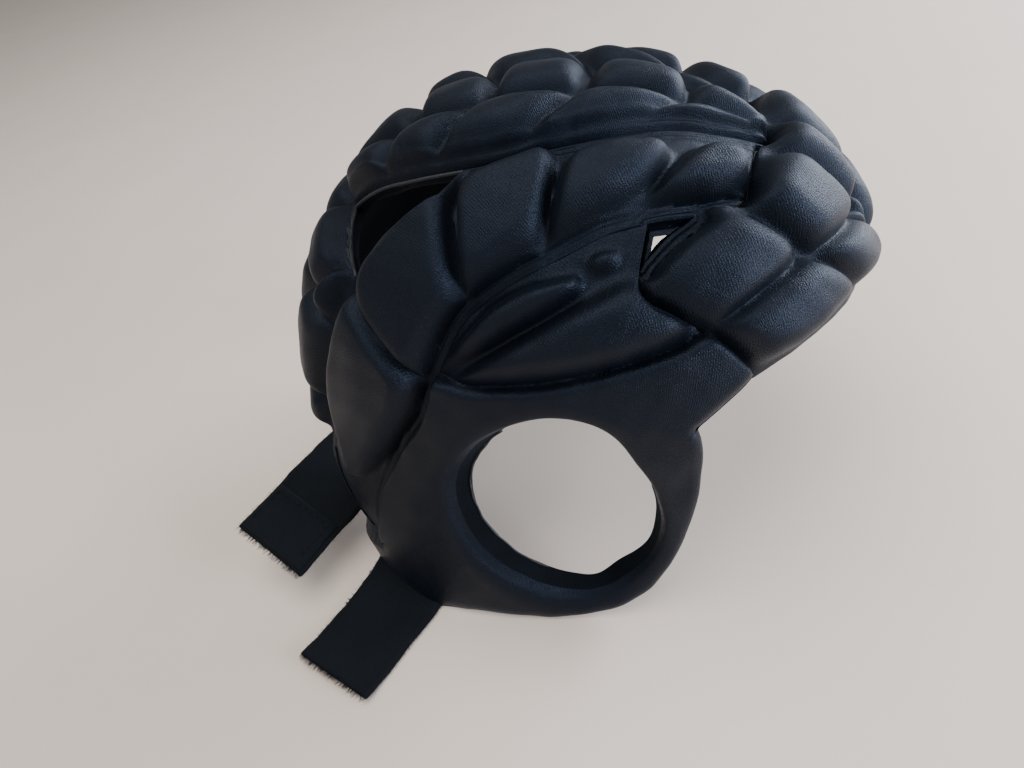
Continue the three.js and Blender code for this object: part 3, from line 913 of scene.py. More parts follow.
@dataclass
class PadPanel:
    """Padded panel: a grid of places on the cap, raised by foam cells and pulled down at its edges."""

    name: str = "pad"
    node: str = ""
    columns: int = 200
    rows: int = 80
    floor: float = 4.3
    fill: float = 0.85
    cells: tuple[Cell, ...] = ()
    ripple: float = 0.16
    ripple_lengths: Span = (7.0, 26.0)
    lining_waves: float = 0.5
    lining_lengths: Span = (14.0, 40.0)
    lining_limit: float = 0.9
    side: Side = Side.RIGHT
    ring: bool = False

    def places(self) -> tuple[Array, Array]:
        """Angles around and out of the grid, each (columns, rows)."""
        raise NotImplementedError

    def lining_places(self) -> tuple[Array, Array]:
        """Angles around and out of the lining's grid."""
        return self.places()

    def edges(self) -> list[tuple[Edge, Array]]:
        """The panel's edges, each with the directions along it."""
        raise NotImplementedError

    def bulges(self) -> Array:
        """Swell of the border wall at each place of the grid."""
        return np.zeros((self.columns, self.rows))

    def ground(self, rays: Array) -> Array:
        """Wall heights of the flat knit between the cells."""
        return np.full(len(rays), self.floor)

    def lifts(self, rays: Array) -> Array:
        """Wall heights above the lining.

        Args:
            rays: Unit directions of the whole grid, on the right half of the cap.

        Returns:
            Heights in millimetres.
        """
        lift = self.ground(rays) + np.max([cell.rise(rays) for cell in self.cells], axis=0)
        lift = eased(lift.reshape(self.columns, self.rows), not self.ring).ravel()
        for edge, line in self.edges():
            lift = edge.trim(lift, nearest(rays, line))
        return lift + unevenness(rays * CAP_RADIUS, self.ripple, self.ripple_lengths, SEED)

    def settle(self, points: Array) -> Array:
        """Keeps points above the floor."""
        return np.maximum(points, np.array([-np.inf, -np.inf, 0.0]))

    def build(self, finishes: Finishes) -> bpy.types.Object:
        """Builds the panel's shell and dresses it.

        Args:
            finishes: The shared materials.

        Returns:
            The piece.
        """
        around, out = self.places()
        rays = direction(around, out).reshape(-1, 3)
        grid = (self.columns, self.rows, 3)
        inside = direction(*self.lining_places()).reshape(-1, 3)
        folds = unevenness(inside * CAP_RADIUS, self.lining_waves, self.lining_lengths, SEED + 1)
        folds = np.clip(folds, -self.lining_limit, self.lining_limit)
        outer = FORM.surface(rays, self.lifts(folded(rays))).reshape(grid)
        inner = FORM.surface(inside, folds).reshape(grid)
        shell = Shell(outer, inner, self.ring)
        points, faces, lining = shell.mesh_arrays(self.bulges().ravel())
        points = self.settle(points)
        if self.side is Side.LEFT:
            points = mirrored(points)
        weave = self.corner_weave(shell, points, faces)
        turned = facing_out(points, faces)
        if turned is not faces:
            weave = weave[:, ::-1]
        piece = mesh_object(self.name, to_world(points), turned.tolist(), weave)
        return self.dress(piece, lining, finishes)

    def corner_weave(self, shell: Shell, points: Array, faces: Array) -> Array:
        """Rib coordinates of every face corner, unbroken where a ring closes."""
        grid = shell.weave()
        weave = np.zeros((len(points), 2))
        weave[:len(grid)] = grid
        weave[len(grid):2 * len(grid)] = grid
        used = 2 * len(grid)
        for border, _ in shell.borders():
            for row in range(1, Shell.WALL_ROWS + 1):
                weave[used:used + len(border)] = grid[border] + np.array([0.0, Shell.WALL_RIB * row])
                used += len(border)
        corners = weave[faces]
        if self.ring:
            around = shell.girth()
            wraps = np.ptp(corners[:, :, 0], axis=1) > around / 2
            corners[:, :, 0] += np.where(wraps[:, None] & (corners[:, :, 0] < around / 2), around, 0.0)
        return corners

    def dress(self, piece: bpy.types.Object, lining: Array, finishes: Finishes) -> bpy.types.Object:
        """Gives the panel its knit and lining and ties it to the frame."""
        piece.data.materials.append(finishes.knit)
        piece.data.materials.append(finishes.lining)
        piece.data.polygons.foreach_set("material_index", lining)
        tie(piece, Slot.KNIT)
        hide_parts(self.node)
        return piece


@dataclass
class PatchPanel(PadPanel):
    """Panel with four sides: two ends, a low side and a high side."""

    start: Edge = FLAT_SEAM
    end: Edge = FLAT_SEAM
    low: Edge = FLAT_SEAM
    high: Edge = FLAT_SEAM

    def shares(self) -> tuple[Array, Array]:
        """Shares along and across the panel."""
        return np.meshgrid(np.linspace(0, 1, self.columns), np.linspace(0, 1, self.rows), indexing="ij")

    def edges(self) -> list[tuple[Edge, Array]]:
        """The four sides with the directions along them."""
        rays = direction(*self.places())
        return [
            (self.start, folded(rays[0])), (self.end, folded(rays[-1])),
            (self.low, folded(rays[:, 0])), (self.high, folded(rays[:, -1])),
        ]

    def bulges(self) -> Array:
        """Swell of the border wall by side."""
        swell = np.zeros((self.columns, self.rows))
        swell[0], swell[-1] = self.start.bulge, self.end.bulge
        swell[:, 0], swell[:, -1] = self.low.bulge, self.high.bulge
        return swell


@dataclass
class CrownStrip(PatchPanel):
    """Strip from a point above the forehead over the top, three columns of cells wide."""

    name: str = "crown_pad"
    node: str = "crown_panel"
    columns: int = 270
    rows: int = 100
    floor: float = 5.0
    cells: tuple[Cell, ...] = CROWN_CELLS
    low: Edge = WELTED_SEAM
    high: Edge = WELTED_SEAM

    def places(self) -> tuple[Array, Array]:
        """Angles around and out of the grid."""
        u, v = self.shares()
        around = CROWN_FRONT + HALF_GAP + (CROWN_BACK - CROWN_FRONT - 2 * HALF_GAP) * u
        edge = CROWN_EDGE.at(around) + HALF_GAP
        return around, edge + (180 - 2 * edge) * v


@dataclass
class BackPanel(PatchPanel):
    """Panel below the crown strip, down to the raised nape edge."""

    name: str = "back_pad"
    node: str = "back_panel"
    columns: int = 130
    rows: int = 180
    cells: tuple[Cell, ...] = BACK_CELLS
    end: Edge = ROLLED_RIM

    def places(self) -> tuple[Array, Array]:
        """Angles around and out of the grid."""
        u, v = self.shares()
        foot = BACK_CORNER - BACK_ARCH * np.sin(np.pi * v)
        around = CROWN_BACK + HALF_GAP + (foot - CROWN_BACK - HALF_GAP) * u
        edge = SIDE_TOP.at(around) + HALF_GAP
        return around, edge + (180 - 2 * edge) * v


@dataclass
class VentedPanel(PatchPanel):
    """Panel with four sides beside the temple vent."""

    def edges(self) -> list[tuple[Edge, Array]]:
        """The four sides and the temple vent's welts."""
        return [*super().edges(), (VENT_RIM, temple_vent())]


@dataclass
class SidePanel(VentedPanel):
    """Crescent of slanted cells from the brow to the nape corner."""

    columns: int = 350
    rows: int = 78
    cells: tuple[Cell, ...] = SIDE_CELLS
    low: Edge = SIDE_SEAM
    high: Edge = WELTED_SEAM

    def __post_init__(self) -> None:
        """Names the piece and its node by side."""
        self.name = f"side_pad_{self.side.word}"
        self.node = f"side_panel_{self.side.word}"

    def places(self) -> tuple[Array, Array]:
        """Angles around and out of the grid."""
        u, v = self.shares()
        around = SIDE_FRONT + HALF_GAP + (NAPE_CORNER - SIDE_FRONT - 2 * HALF_GAP) * u
        low = SIDE_BOTTOM.at(around) + HALF_GAP
        high = SIDE_TOP.at(around) - HALF_GAP
        return around, low + (high - low) * v


@dataclass
class BrowPanel(VentedPanel):
    """Forehead and temples: two rows of cells above a rolled rim."""

    name: str = "brow_pad"
    node: str = "brow_panel"
    columns: int = 340
    rows: int = 90
    floor: float = 5.4
    cells: tuple[Cell, ...] = BROW_CELLS
    start: Edge = TEMPLE_FOLD
    end: Edge = TEMPLE_FOLD
    low: Edge = ROLLED_RIM
    high: Edge = TEMPLE_TIP

    def places(self) -> tuple[Array, Array]:
        """Angles around and out of the grid."""
        u, v = self.shares()
        out = TEMPLE_OUT + (180 - 2 * TEMPLE_OUT) * u
        half = np.minimum(out, 180 - out)
        low = RIM.at(half)
        return low + (BROW_TOP.at(half) - HALF_GAP - low) * v, out


@dataclass
class EarPanel(PadPanel):
    """Lens cells above the ear, a smooth band, and the padded loop round the ear hole."""

    columns: int = 0
    rows: int = 80
    floor: float = 3.8
    band: float = 9.0
    groove: float = 3.2
    groove_run: float = 4.5
    groove_points: int = 240
    cells: tuple[Cell, ...] = EAR_CELLS
    lining_waves: float = 0.9
    ring: bool = True
    hole: Edge = Edge(6.4, 5.6, bulge=0.8)
    free: Edge = Edge(5.6, 5.6, bulge=1.6)
    loop_step: float = 1.3
    lens_step: float = 0.48
    ramp_step: float = 0.12
    ramp_points: int = 40
    lens_to: float = 120.0       # angle around where the fine columns of the lens cells end

    def __post_init__(self) -> None:
        """Names the piece and its node by side and lays out the grid's columns."""
        self.name = f"ear_pad_{self.side.word}"
        self.node = f"ear_panel_{self.side.word}"
        self.columns = len(self.stops())

    def stops(self) -> Array:
        """Angles round the ear of the grid's columns, once round from the nape corner."""
        temple = 360 + TEMPLE_FROM
        vent = 360 + VENT_TOP
        lens_end = 360 + self.lens_to
        nape = 360 + NAPE_CORNER
        zones = (
            (NAPE_CORNER, temple - FRONT_RAMP, self.loop_step),
            (temple - FRONT_RAMP, temple, self.ramp_step),
            (temple, vent - VENT_RAMP, self.lens_step),
            (vent - VENT_RAMP, vent, self.ramp_step),
            (vent, lens_end, self.lens_step),
            (lens_end, nape - NAPE_RAMP, self.loop_step),
            (nape - NAPE_RAMP, nape - self.ramp_step / 2, self.ramp_step),
        )
        return np.concatenate([np.arange(*zone) for zone in zones])

    @staticmethod
    def ramps() -> tuple[Array, Array]:
        """Ends of the front ramp and of the nape ramp, each two rows of angles around and out."""
        front, nape = TEMPLE_FROM - FRONT_RAMP, NAPE_CORNER - NAPE_RAMP
        loop_out = LOOP_EDGE.at(np.array([front + 360, NAPE_CORNER]))
        nape_out = SIDE_BOTTOM.at(np.array([nape]))
        return (
            np.array([[front, loop_out[0]], [TEMPLE_FROM, TEMPLE_OUT]]),
            np.array([[nape, nape_out[0]], [NAPE_CORNER, loop_out[1]]]),
        )

    @staticmethod
    def rim(around: Array) -> Array:
        """Outer edge of the panel: loop edge, temple seam, vent, side seam and loop edge again."""
        front, nape = EarPanel.ramps()
        stretches = (
            (front[0, 0], LOOP_EDGE.at(around + 360)),
            (TEMPLE_FROM, np.interp(around, *front.T)),
            (TEMPLE_TO, np.full(len(around), TEMPLE_OUT)),
            (VENT_TOP, VENT_EDGE.at(around)),
            (nape[0, 0], SIDE_BOTTOM.at(around) - HALF_GAP),
            (NAPE_CORNER, np.interp(around, *nape.T)),
        )
        ends, edges = zip(*stretches)
        return np.select([around < end for end in ends], edges, LOOP_EDGE.at(around))

    def places(self) -> tuple[Array, Array]:
        """Angles around and out of the grid."""
        around = self.stops() % 360
        hole = EAR_HOLE.at(around)
        share = np.linspace(0, 1, self.rows)
        out = hole[:, None] + (self.rim(around) - hole)[:, None] * share
        return np.repeat(around[:, None], self.rows, axis=1), out

    def lining_places(self) -> tuple[Array, Array]:
        """Angles of the lining's grid, which reaches further into the ear hole than the knit does."""
        around, out = self.places()
        inset = HOLE_LINING.at(around[:, 0])[:, None] * (1 - np.linspace(0, 1, self.rows))
        return around, out - inset

    def edges(self) -> list[tuple[Edge, Array]]:
        """Hole, loop edge, temple seam, temple vent and side seam."""
        around, out = self.places()
        rim = direction(around[:, -1], out[:, -1])
        at = around[:, -1]
        free = (at < TEMPLE_FROM) | (at >= NAPE_CORNER)
        front, nape = (direction(*np.linspace(*ramp, self.ramp_points).T) for ramp in self.ramps())
        return [
            (self.free, front),
            (EAR_SEAM, nape),
            (self.hole, direction(around[:, 0], out[:, 0])),
            (self.free, rim[free]),
            (TEMPLE_FOLD, rim[(at >= TEMPLE_FROM) & (at < TEMPLE_TO)]),
            (TEMPLE_TIP, rim[(at >= TEMPLE_TO) & (at < VENT_TOP)]),
            (EAR_SEAM, rim[(at >= VENT_TOP) & (at < NAPE_CORNER)]),
        ]

    def bulges(self) -> Array:
        """Swell of the wall round the hole and along the loop's free edge."""
        around = self.stops() % 360
        swell = np.zeros((self.columns, self.rows))
        swell[:, 0] = self.hole.bulge
        free = (around < TEMPLE_FROM) | (around >= NAPE_CORNER)
        sole = (around > SOLE_FROM) & (around < SOLE_TO)
        swell[:, -1] = np.where(free & ~sole, self.free.bulge, 0.0)
        return swell

    def ground(self, rays: Array) -> Array:
        """Flat knit round the lens cells, and the band with the deep groove above it."""
        around, out = chart_angles(rays)
        first, last = BAND_LIMIT.rows[0][0], BAND_LIMIT.rows[-1][0]
        to_groove = nearest(rays, BAND_LIMIT.line(first, last, self.groove_points))
        band = self.groove + (self.band - self.groove) * rounded(to_groove, self.groove_run)
        lens = self.groove + (self.floor - self.groove) * rounded(to_groove, self.groove_run / 2)
        above = (around > first) & (around < last) & (out > BAND_LIMIT.at(np.clip(around, first, last)))
        return np.where(above, lens, band)


@dataclass(frozen=True)
class StrapCourse:
    """Course of a strap: ends of its middle line, way of its sewn edge, heights and leans along it."""

    start: Place
    end: Place
    sewn: Place
    heights: Curve
    leans: Curve
    width: float = 37.0
    clear: float = 0.3
    sewn_turn: float = 0.25      # share of the course over which the sewn edge turns square
    length_points: int = 200

    def frames(self, along: Array) -> tuple[Array, Array, Array]:
        """Middle points, vectors to the side and unit vectors off the face, at shares of the course."""
        start, end = np.array(self.start), np.array(self.end)
        run = end - start
        square = np.array([-run[1], run[0]]) / np.hypot(*run)
        slant = np.array(self.sewn) / (np.array(self.sewn) @ square)
        middle = np.zeros((len(along), 3))
        middle[:, :2] = start + along[:, None] * run
        middle[:, 2] = np.maximum(self.clear, self.heights.at(along))
        turn = np.minimum(1.0, along / self.sewn_turn)[:, None]
        across = np.zeros((len(along), 3))
        across[:, :2] = slant * (1 - turn) + square * turn
        across[:, 2] = -self.leans.at(along) / (self.width / 2)
        up = np.cross(np.gradient(middle, along, axis=0), across)
        return middle, across, up / np.linalg.norm(up, axis=1)[:, None]

    def length(self) -> float:
        """Length of the middle line in millimetres."""
        middle = self.frames(np.linspace(0, 1, self.length_points))[0]
        return float(np.linalg.norm(np.diff(middle, axis=0), axis=1).sum())


RIGHT_COURSE = StrapCourse(
    start=(60, -66), end=(126, -93), sewn=(0.45, 0.89),
    heights=Curve(((0, 6.2), (0.15, 4.8), (0.3, 2.3), (0.5, 0.4), (0.85, 0.3), (1, 1.6))),
    leans=Curve(((0, 3.6), (0.15, 3.2), (0.3, 2), (0.5, 0.2), (0.85, 0), (1, 0))),
)
LEFT_COURSE = StrapCourse(
    start=(-77, -57), end=(85, -133), sewn=(-0.21, 0.978),
    heights=Curve((
        (0, 6.3), (0.06, 4.7), (0.14, 1.6), (0.24, 0.6), (0.4, 11), (0.54, 22), (0.7, 25), (1, 21),
    )),
    leans=Curve(((0, 0), (0.06, 0), (0.14, 0), (0.24, 0), (0.4, 2), (0.54, 4), (0.7, 5), (1, 5))),
)


class Yarns:
    """Collects tubes of yarn and makes one mesh of them."""

    def __init__(self, sides: int = 6) -> None:
        """Starts with no yarn; sides is the count of each tube's sides."""
        self.sides = sides
        self.points: list[Array] = []
        self.faces: list[list[int]] = []
        self.used = 0

    def add(self, path: Array, radius: float, middle: Array, taper: float = 1.0) -> None:
        """Adds a tube.

        Args:
            path: Points of its middle line.
            radius: Its radius at the start.
            middle: A point well to one side of the line, which sets the tube's turn.
            taper: Share of the radius left at the end.
        """
        ways = np.gradient(path, axis=0)
        ways /= np.maximum(np.linalg.norm(ways, axis=1), TINY)[:, None]
        side = np.cross(ways, path - middle)
        side /= np.maximum(np.linalg.norm(side, axis=1), TINY)[:, None]
        up = np.cross(side, ways)
        turns = np.linspace(0, 2 * math.pi, self.sides, endpoint=False)
        radii = radius * np.linspace(1.0, taper, len(path))
        ring = side[:, None] * np.cos(turns)[:, None] + up[:, None] * np.sin(turns)[:, None]
        self.points.append((path[:, None] + ring * radii[:, None, None]).reshape(-1, 3))
        for k in range(len(path) - 1):
            low = self.used + k * self.sides
            for n in range(self.sides):
                after = (n + 1) % self.sides
                self.faces.append([low + n, low + after, low + self.sides + after, low + self.sides + n])
        self.faces.append([self.used + n for n in range(self.sides)][::-1])
        last = self.used + (len(path) - 1) * self.sides
        self.faces.append([last + n for n in range(self.sides)])
        self.used += len(path) * self.sides

    def piece(self, name: str, side: Side, material: bpy.types.Material, slot: Slot) -> bpy.types.Object:
        """Makes the mesh of all the yarn, mirrored for the left side, and ties it to the frame."""
        points = np.concatenate(self.points)
        faces = self.faces
        if side is Side.LEFT:
            points = mirrored(points)
            faces = [face[::-1] for face in faces]
        piece = mesh_object(name, to_world(points), faces, creased=False)
        piece.data.materials.append(material)
        tie(piece, slot)
        return piece


@dataclass
class Strap:
    """Flat nape strap of pile webbing with a frayed end."""

    side: Side
    course: StrapCourse
    thickness: float = 2.0
    edge_thin: float = 0.6
    edge_run: float = 1.6
    edge_bulge: float = 0.35
    grain: float = 1.1           # length of one mesh step
    least_steps: int = 8
    waviness: float = 0.012      # share by which the woven sides wander
    side_waves: Span = (4.0, 14.0)
    pile: float = 0.07
    pile_waves: Span = (1.6, 5.0)
    end_fibres: int = 320
    side_fibres: int = 420
    side_from: float = 0.2       # share of the course where the side fibres start
    end_length: Span = (0.8, 2.6)
    side_length: Span = (0.3, 1.0)
    root_height: Span = (0.3, 1.7)
    fibre_radius: Span = (0.07, 0.13)
    fibre_bend: float = 0.35
    fibre_clear: float = 0.12    # least height of a fibre above the floor
    fibre_taper: float = 0.4

    def web(self, start: float, end: float, raise_by: float, thickness: float, inset: float) -> Shell:
        """Shell of a strip along the course.

        Args:
            start: Share of the course where the strip starts.
            end: Share where it ends.
            raise_by: Height of its lower face above the course.
            thickness: Its thickness.
            inset: How far its sides stand in from the strap's.

        Returns:
            The strip's shell, in millimetres.
        """
        course = self.course
        columns = max(int(course.length() * (end - start) / self.grain), self.least_steps)
        rows = max(int((course.width - 2 * inset) / self.grain), self.least_steps)
        along = np.linspace(start, end, columns)
        middle, across, up = course.frames(along)
        share = np.linspace(-1, 1, rows)
        wander = 1 + unevenness(middle, self.waviness, self.side_waves, SEED + 2)
        half = (course.width / 2 - inset) * wander
        spots = middle[:, None] + across[:, None] * (half[:, None] * share)[:, :, None]
        to_side = (course.width / 2 - inset) * (1 - np.abs(share))[None]
        to_end = course.length() * np.minimum(along - start, end - along)[:, None]
        full = thickness - self.edge_thin * (1 - rounded(np.minimum(to_side, to_end), self.edge_run))
        flat = spots.reshape(-1, 3)
        full = full + unevenness(flat, self.pile, self.pile_waves, SEED + 3).reshape(full.shape)
        low = spots + up[:, None] * raise_by
        high = spots + up[:, None] * (raise_by + full)[:, :, None]
        return Shell(high, low, False)

    def piece(self, name: str, shell: Shell, finishes: Finishes) -> bpy.types.Object:
        """Makes a strip's mesh from its shell and dresses it."""
        points, faces, _ = shell.mesh_arrays(np.full(shell.columns * shell.rows, self.edge_bulge))
        weave = np.resize(shell.weave(), (len(points), 2))
        turned = facing_out(points, faces)
        piece = mesh_object(name, to_world(points), turned.tolist(), weave[turned])
        piece.data.materials.append(finishes.webbing)
        tie(piece, Slot.WEBBING)
        return piece

    def fray(self, finishes: Finishes) -> bpy.types.Object:
        """Short fibres round the strap's free end and along its sides."""
        chance = np.random.default_rng(SEED + self.side.value)
        yarns = Yarns(sides=3)
        ends = chance.uniform(-1, 1, self.end_fibres)
        sides = chance.uniform(self.side_from, 1.0, self.side_fibres)
        along = np.concatenate([np.full(self.end_fibres, 1.0), sides])
        share = np.concatenate([ends, chance.choice([-1.0, 1.0], self.side_fibres)])
        order = np.argsort(along, kind="stable")
        along, share = along[order], share[order]
        steps = np.unique(along)
        middle, across, up = (a[np.searchsorted(steps, along)] for a in self.course.frames(steps))
        ahead = np.cross(across, up)
        reach, sway = np.array([-0.5, 0.4, 1.0]), np.array([0.0, 0.3, 1.0])
        beside = np.array([0.3, 9.0, 20.0])
        for k in range(len(along)):
            at_end = along[k] >= 1.0
            away = ahead[k] if at_end else across[k] * share[k]
            length = chance.uniform(*(self.end_length if at_end else self.side_length))
            to_edge = across[k] * share[k] * self.course.width / 2
            root = middle[k] + to_edge + up[k] * chance.uniform(*self.root_height)
            bend = chance.normal(size=3) * self.fibre_bend
            path = root + np.outer(reach, away * length) + np.outer(sway, bend)
            path[:, 2] = np.maximum(path[:, 2], self.fibre_clear)
            radius = chance.uniform(*self.fibre_radius)
            yarns.add(path, radius, path.mean(axis=0) + beside, self.fibre_taper)
        return yarns.piece(f"strap_{self.side.word}_fray", Side.RIGHT, finishes.webbing, Slot.WEBBING)

    def build(self, finishes: Finishes) -> list[bpy.types.Object]:
        shell = self.web(0.0, 1.0, 0.0, self.thickness, 0.0)
        piece = self.piece(f"strap_{self.side.word}_web", shell, finishes)
        fray = self.fray(finishes)
        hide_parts(f"strap_{self.side.word}")
        cut = (self.course.width * MM, self.course.length() * MM)
        return [piece, fray]


@dataclass
class StrapTab:
    """Hook patch sewn on the end of the long strap, with a row of stitches inside its edge."""

    strap: Strap
    thickness: float = 1.4
    length: float = 25.0
    inset: float = 1.5
    clear: float = 0.1
    stitch: float = 2.4
    stitch_gap: float = 1.0
    stitch_in: float = 2.6
    stitch_radius: float = 0.28
    STITCH_HUMP: ClassVar[Array] = np.array([-0.15, 0.2, 0.2, -0.15])
    NUDGE: ClassVar[float] = 0.01    # share of the course on either side that gives a stitch its way
    ASIDE: ClassVar[float] = 30.0    # how far below a stitch the point lies that sets its turn

    def build(self, finishes: Finishes) -> list[bpy.types.Object]:
        run = self.strap.course.length()
        start, end = 1 - self.length / run, 1 - self.inset / run
        base = self.strap.thickness + self.clear
        shell = self.strap.web(start, end, base, self.thickness, self.inset)
        piece = self.strap.piece("strap_left_tab", shell, finishes)
        stitches = self.stitches(start, end, base + self.thickness, finishes)
        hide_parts("strap_left_patch")
        return [piece, stitches]

    def stitches(self, start: float, end: float, height: float, finishes: Finishes) -> bpy.types.Object:
        """Stitches along the patch's inner edge and sides."""
        course = self.strap.course
        half = course.width / 2 - self.inset - self.stitch_in
        step = self.stitch + self.stitch_gap
        yarns = Yarns(sides=5)
        inner = start + self.stitch_in / course.length()
        outer = end - self.stitch_in / course.length()
        rows = (
            ((inner, inner), (-half, half)),
            ((inner, outer), (-half, -half)),
            ((inner, outer), (half, half)),
        )
        for along, off in rows:
            run = np.hypot(np.ptp(along) * course.length(), np.ptp(off))
            for place in np.arange(0.0, run - self.stitch, step):
                shares = np.linspace(place, place + self.stitch, len(self.STITCH_HUMP)) / run
                at = np.interp(shares, [0, 1], along)
                beside = np.linspace(at[0] - self.NUDGE, at[0] + self.NUDGE, 3)
                middle, across, up = course.frames(beside)
                ahead = np.cross(across[1], up[1])
                ahead /= np.linalg.norm(ahead)
                off_at = np.interp(shares, [0, 1], off)
                on = (at - at[0])[:, None] * course.length() * ahead
                above = up[1] * (height + self.STITCH_HUMP)[:, None]
                path = middle[1] + on + across[1] * off_at[:, None] + above
                yarns.add(path, self.stitch_radius, path.mean(axis=0) - up[1] * self.ASIDE)
        return yarns.piece("strap_left_tab_stitches", Side.RIGHT, finishes.webbing, Slot.WEBBING)


@dataclass(frozen=True)
class Roll:
    """Rounded hem: directions along it, its height above the lining and its radius."""

    rays: Array
    lift: float
    radius: float


@dataclass
class SeamWork:
    """Hem rolls along the seams and edges of one side, of knit, and of thread where a cut edge shows."""

    side: Side
    hole_in: float = 0.15        # angle by which the ear hole's thread lies inside the lining's edge
    hole_wander: float = 0.15
    hole_waves: tuple[int, int] = (17, 5)

    def knit_rolls(self) -> list[Roll]:
        """Rolls of knit at the nape, the seams, the brow's rim, the loop's edge and the back's foot."""
        half = np.linspace(0.0, 0.5, 140)
        foot = BACK_CORNER - BACK_ARCH * np.sin(np.pi * half)
        foot_edge = SIDE_TOP.at(foot)
        return [
            Roll(direction(np.linspace(179.0, 202.0, 60), np.linspace(58.4, 53.0, 60)), 4.6, 0.4),
            Roll(SIDE_BOTTOM.line(66.0, 202.4, 420), 3.4, 0.3),
            Roll(CROWN_EDGE.line(49.6, 100.0, 170), 3.6, 0.6),
            Roll(SIDE_TOP.line(132.0, 202.6, 240), 3.2, 0.6),
            Roll(BROW_TOP.line(72.6, 90.0, 70, by_out=True), 2.7, 0.35),
            Roll(RIM.line(TEMPLE_OUT, 90.0, 160, by_out=True), 0.9, 0.6),
            Roll(LOOP_EDGE.line(203.6, 389.5, 320), 0.8, 0.55),
            Roll(direction(foot, foot_edge + (180 - 2 * foot_edge) * half), 0.9, 0.6),
        ]

    def thread_rolls(self) -> list[Roll]:
        """Rows of thread along the rear vent, the ear hole and the crown strip's back edge."""
        hole = np.linspace(112.0, 258.0, 220)
        first, second = (np.sin(np.radians(hole) * wave) for wave in self.hole_waves)
        wander = self.hole_wander * first * second
        hole_out = EAR_HOLE.at(hole) - HOLE_LINING.at(hole) - self.hole_in + wander
        back_out = np.linspace(64.6, 90.0, 110)
        return [
            Roll(CROWN_EDGE.line(98.0, 129.2, 120), 3.6, 0.55),
            Roll(SIDE_TOP.line(99.0, 130.0, 120), 2.6, 0.35),
            Roll(direction(hole, hole_out), 0.4, 0.3),
            Roll(direction(np.full(len(back_out), CROWN_BACK), back_out), 3.2, 0.45),
        ]

    def piece(self, name: str, rolls: list[Roll], material: bpy.types.Material) -> bpy.types.Object:
        """Makes one piece of the rolls, kept above the floor."""
        yarns = Yarns()
        for roll in rolls:
            path = FORM.surface(roll.rays, np.full(len(roll.rays), roll.lift))
            path[:, 2] = np.maximum(path[:, 2], roll.radius)
            yarns.add(path, roll.radius, FORM.ear)
        return yarns.piece(f"{name}_{self.side.word}", self.side, material, Slot.KNIT)

    def build(self, finishes: Finishes) -> list[bpy.types.Object]:
        """Builds the knit rolls and the threads."""
        return [
            self.piece("hem_rolls", self.knit_rolls(), finishes.knit),
            self.piece("hem_threads", self.thread_rolls(), finishes.thread),
        ]


@dataclass
class VentLip:
    """Lip of knit round the inside of the temple vent of one side."""

    side: Side
    tuck: float = 0.25           # share by which the lip reaches under the panels
    reach: float = 0.68          # share of the way to the vent's middle that it covers
    clear: float = 0.12          # share after which it starts to rise beside the panels' walls
    rise_run: float = 0.4
    rise: float = 2.2
    thickness: float = 0.7
    drop: float = 0.3
    rows: int = 16

    def rim(self) -> Array:
        """Directions once round the vent."""
        return np.concatenate([
            BROW_TOP.line(55.8, 66.4, 42, by_out=True),
            SIDE_BOTTOM.line(58.8, VENT_TOP, 30),
            VENT_EDGE.line(VENT_TOP, 64.1, 24),
        ])

    def build(self, finishes: Finishes) -> bpy.types.Object:
        """Builds the lip as a thin ring that comes up between the panels."""
        rim = self.rim()
        middle = rim.mean(axis=0)
        share = np.linspace(-self.tuck, self.reach, self.rows)
        lift = np.tile(self.rise * rounded(share - self.clear, self.rise_run) - self.drop, len(rim))
        share = share[None, :, None]
        rays = rim[:, None] * (1 - share) + middle * share
        rays /= np.linalg.norm(rays, axis=2)[:, :, None]
        grid = rays.shape
        flat = rays.reshape(-1, 3)
        outer = FORM.surface(flat, lift).reshape(grid)
        inner = FORM.surface(flat, lift - self.thickness).reshape(grid)
        points, faces, _ = Shell(outer, inner, True).mesh_arrays(np.zeros(len(flat)))
        if self.side is Side.LEFT:
            points = mirrored(points)
        faces = facing_out(points, faces)
        weave = points[faces][:, :, 1:]
        piece = mesh_object(f"vent_lip_{self.side.word}", to_world(points), faces.tolist(), weave)
        piece.data.materials.append(finishes.knit)
        tie(piece, Slot.KNIT)
        return piece


@dataclass(frozen=True)
class Tuft:
    """Group of loose threads: their count, the limits of their roots, and their run round and out."""

    count: int
    around: Span
    out: Span
    run: Place

    def root(self, chance: np.random.Generator) -> Place:
        """Angles around and out of one thread's root; a fixed angle around takes no draw."""
        first, last = self.around
        around = first if first == last else chance.uniform(first, last)
        return around, chance.uniform(*self.out)


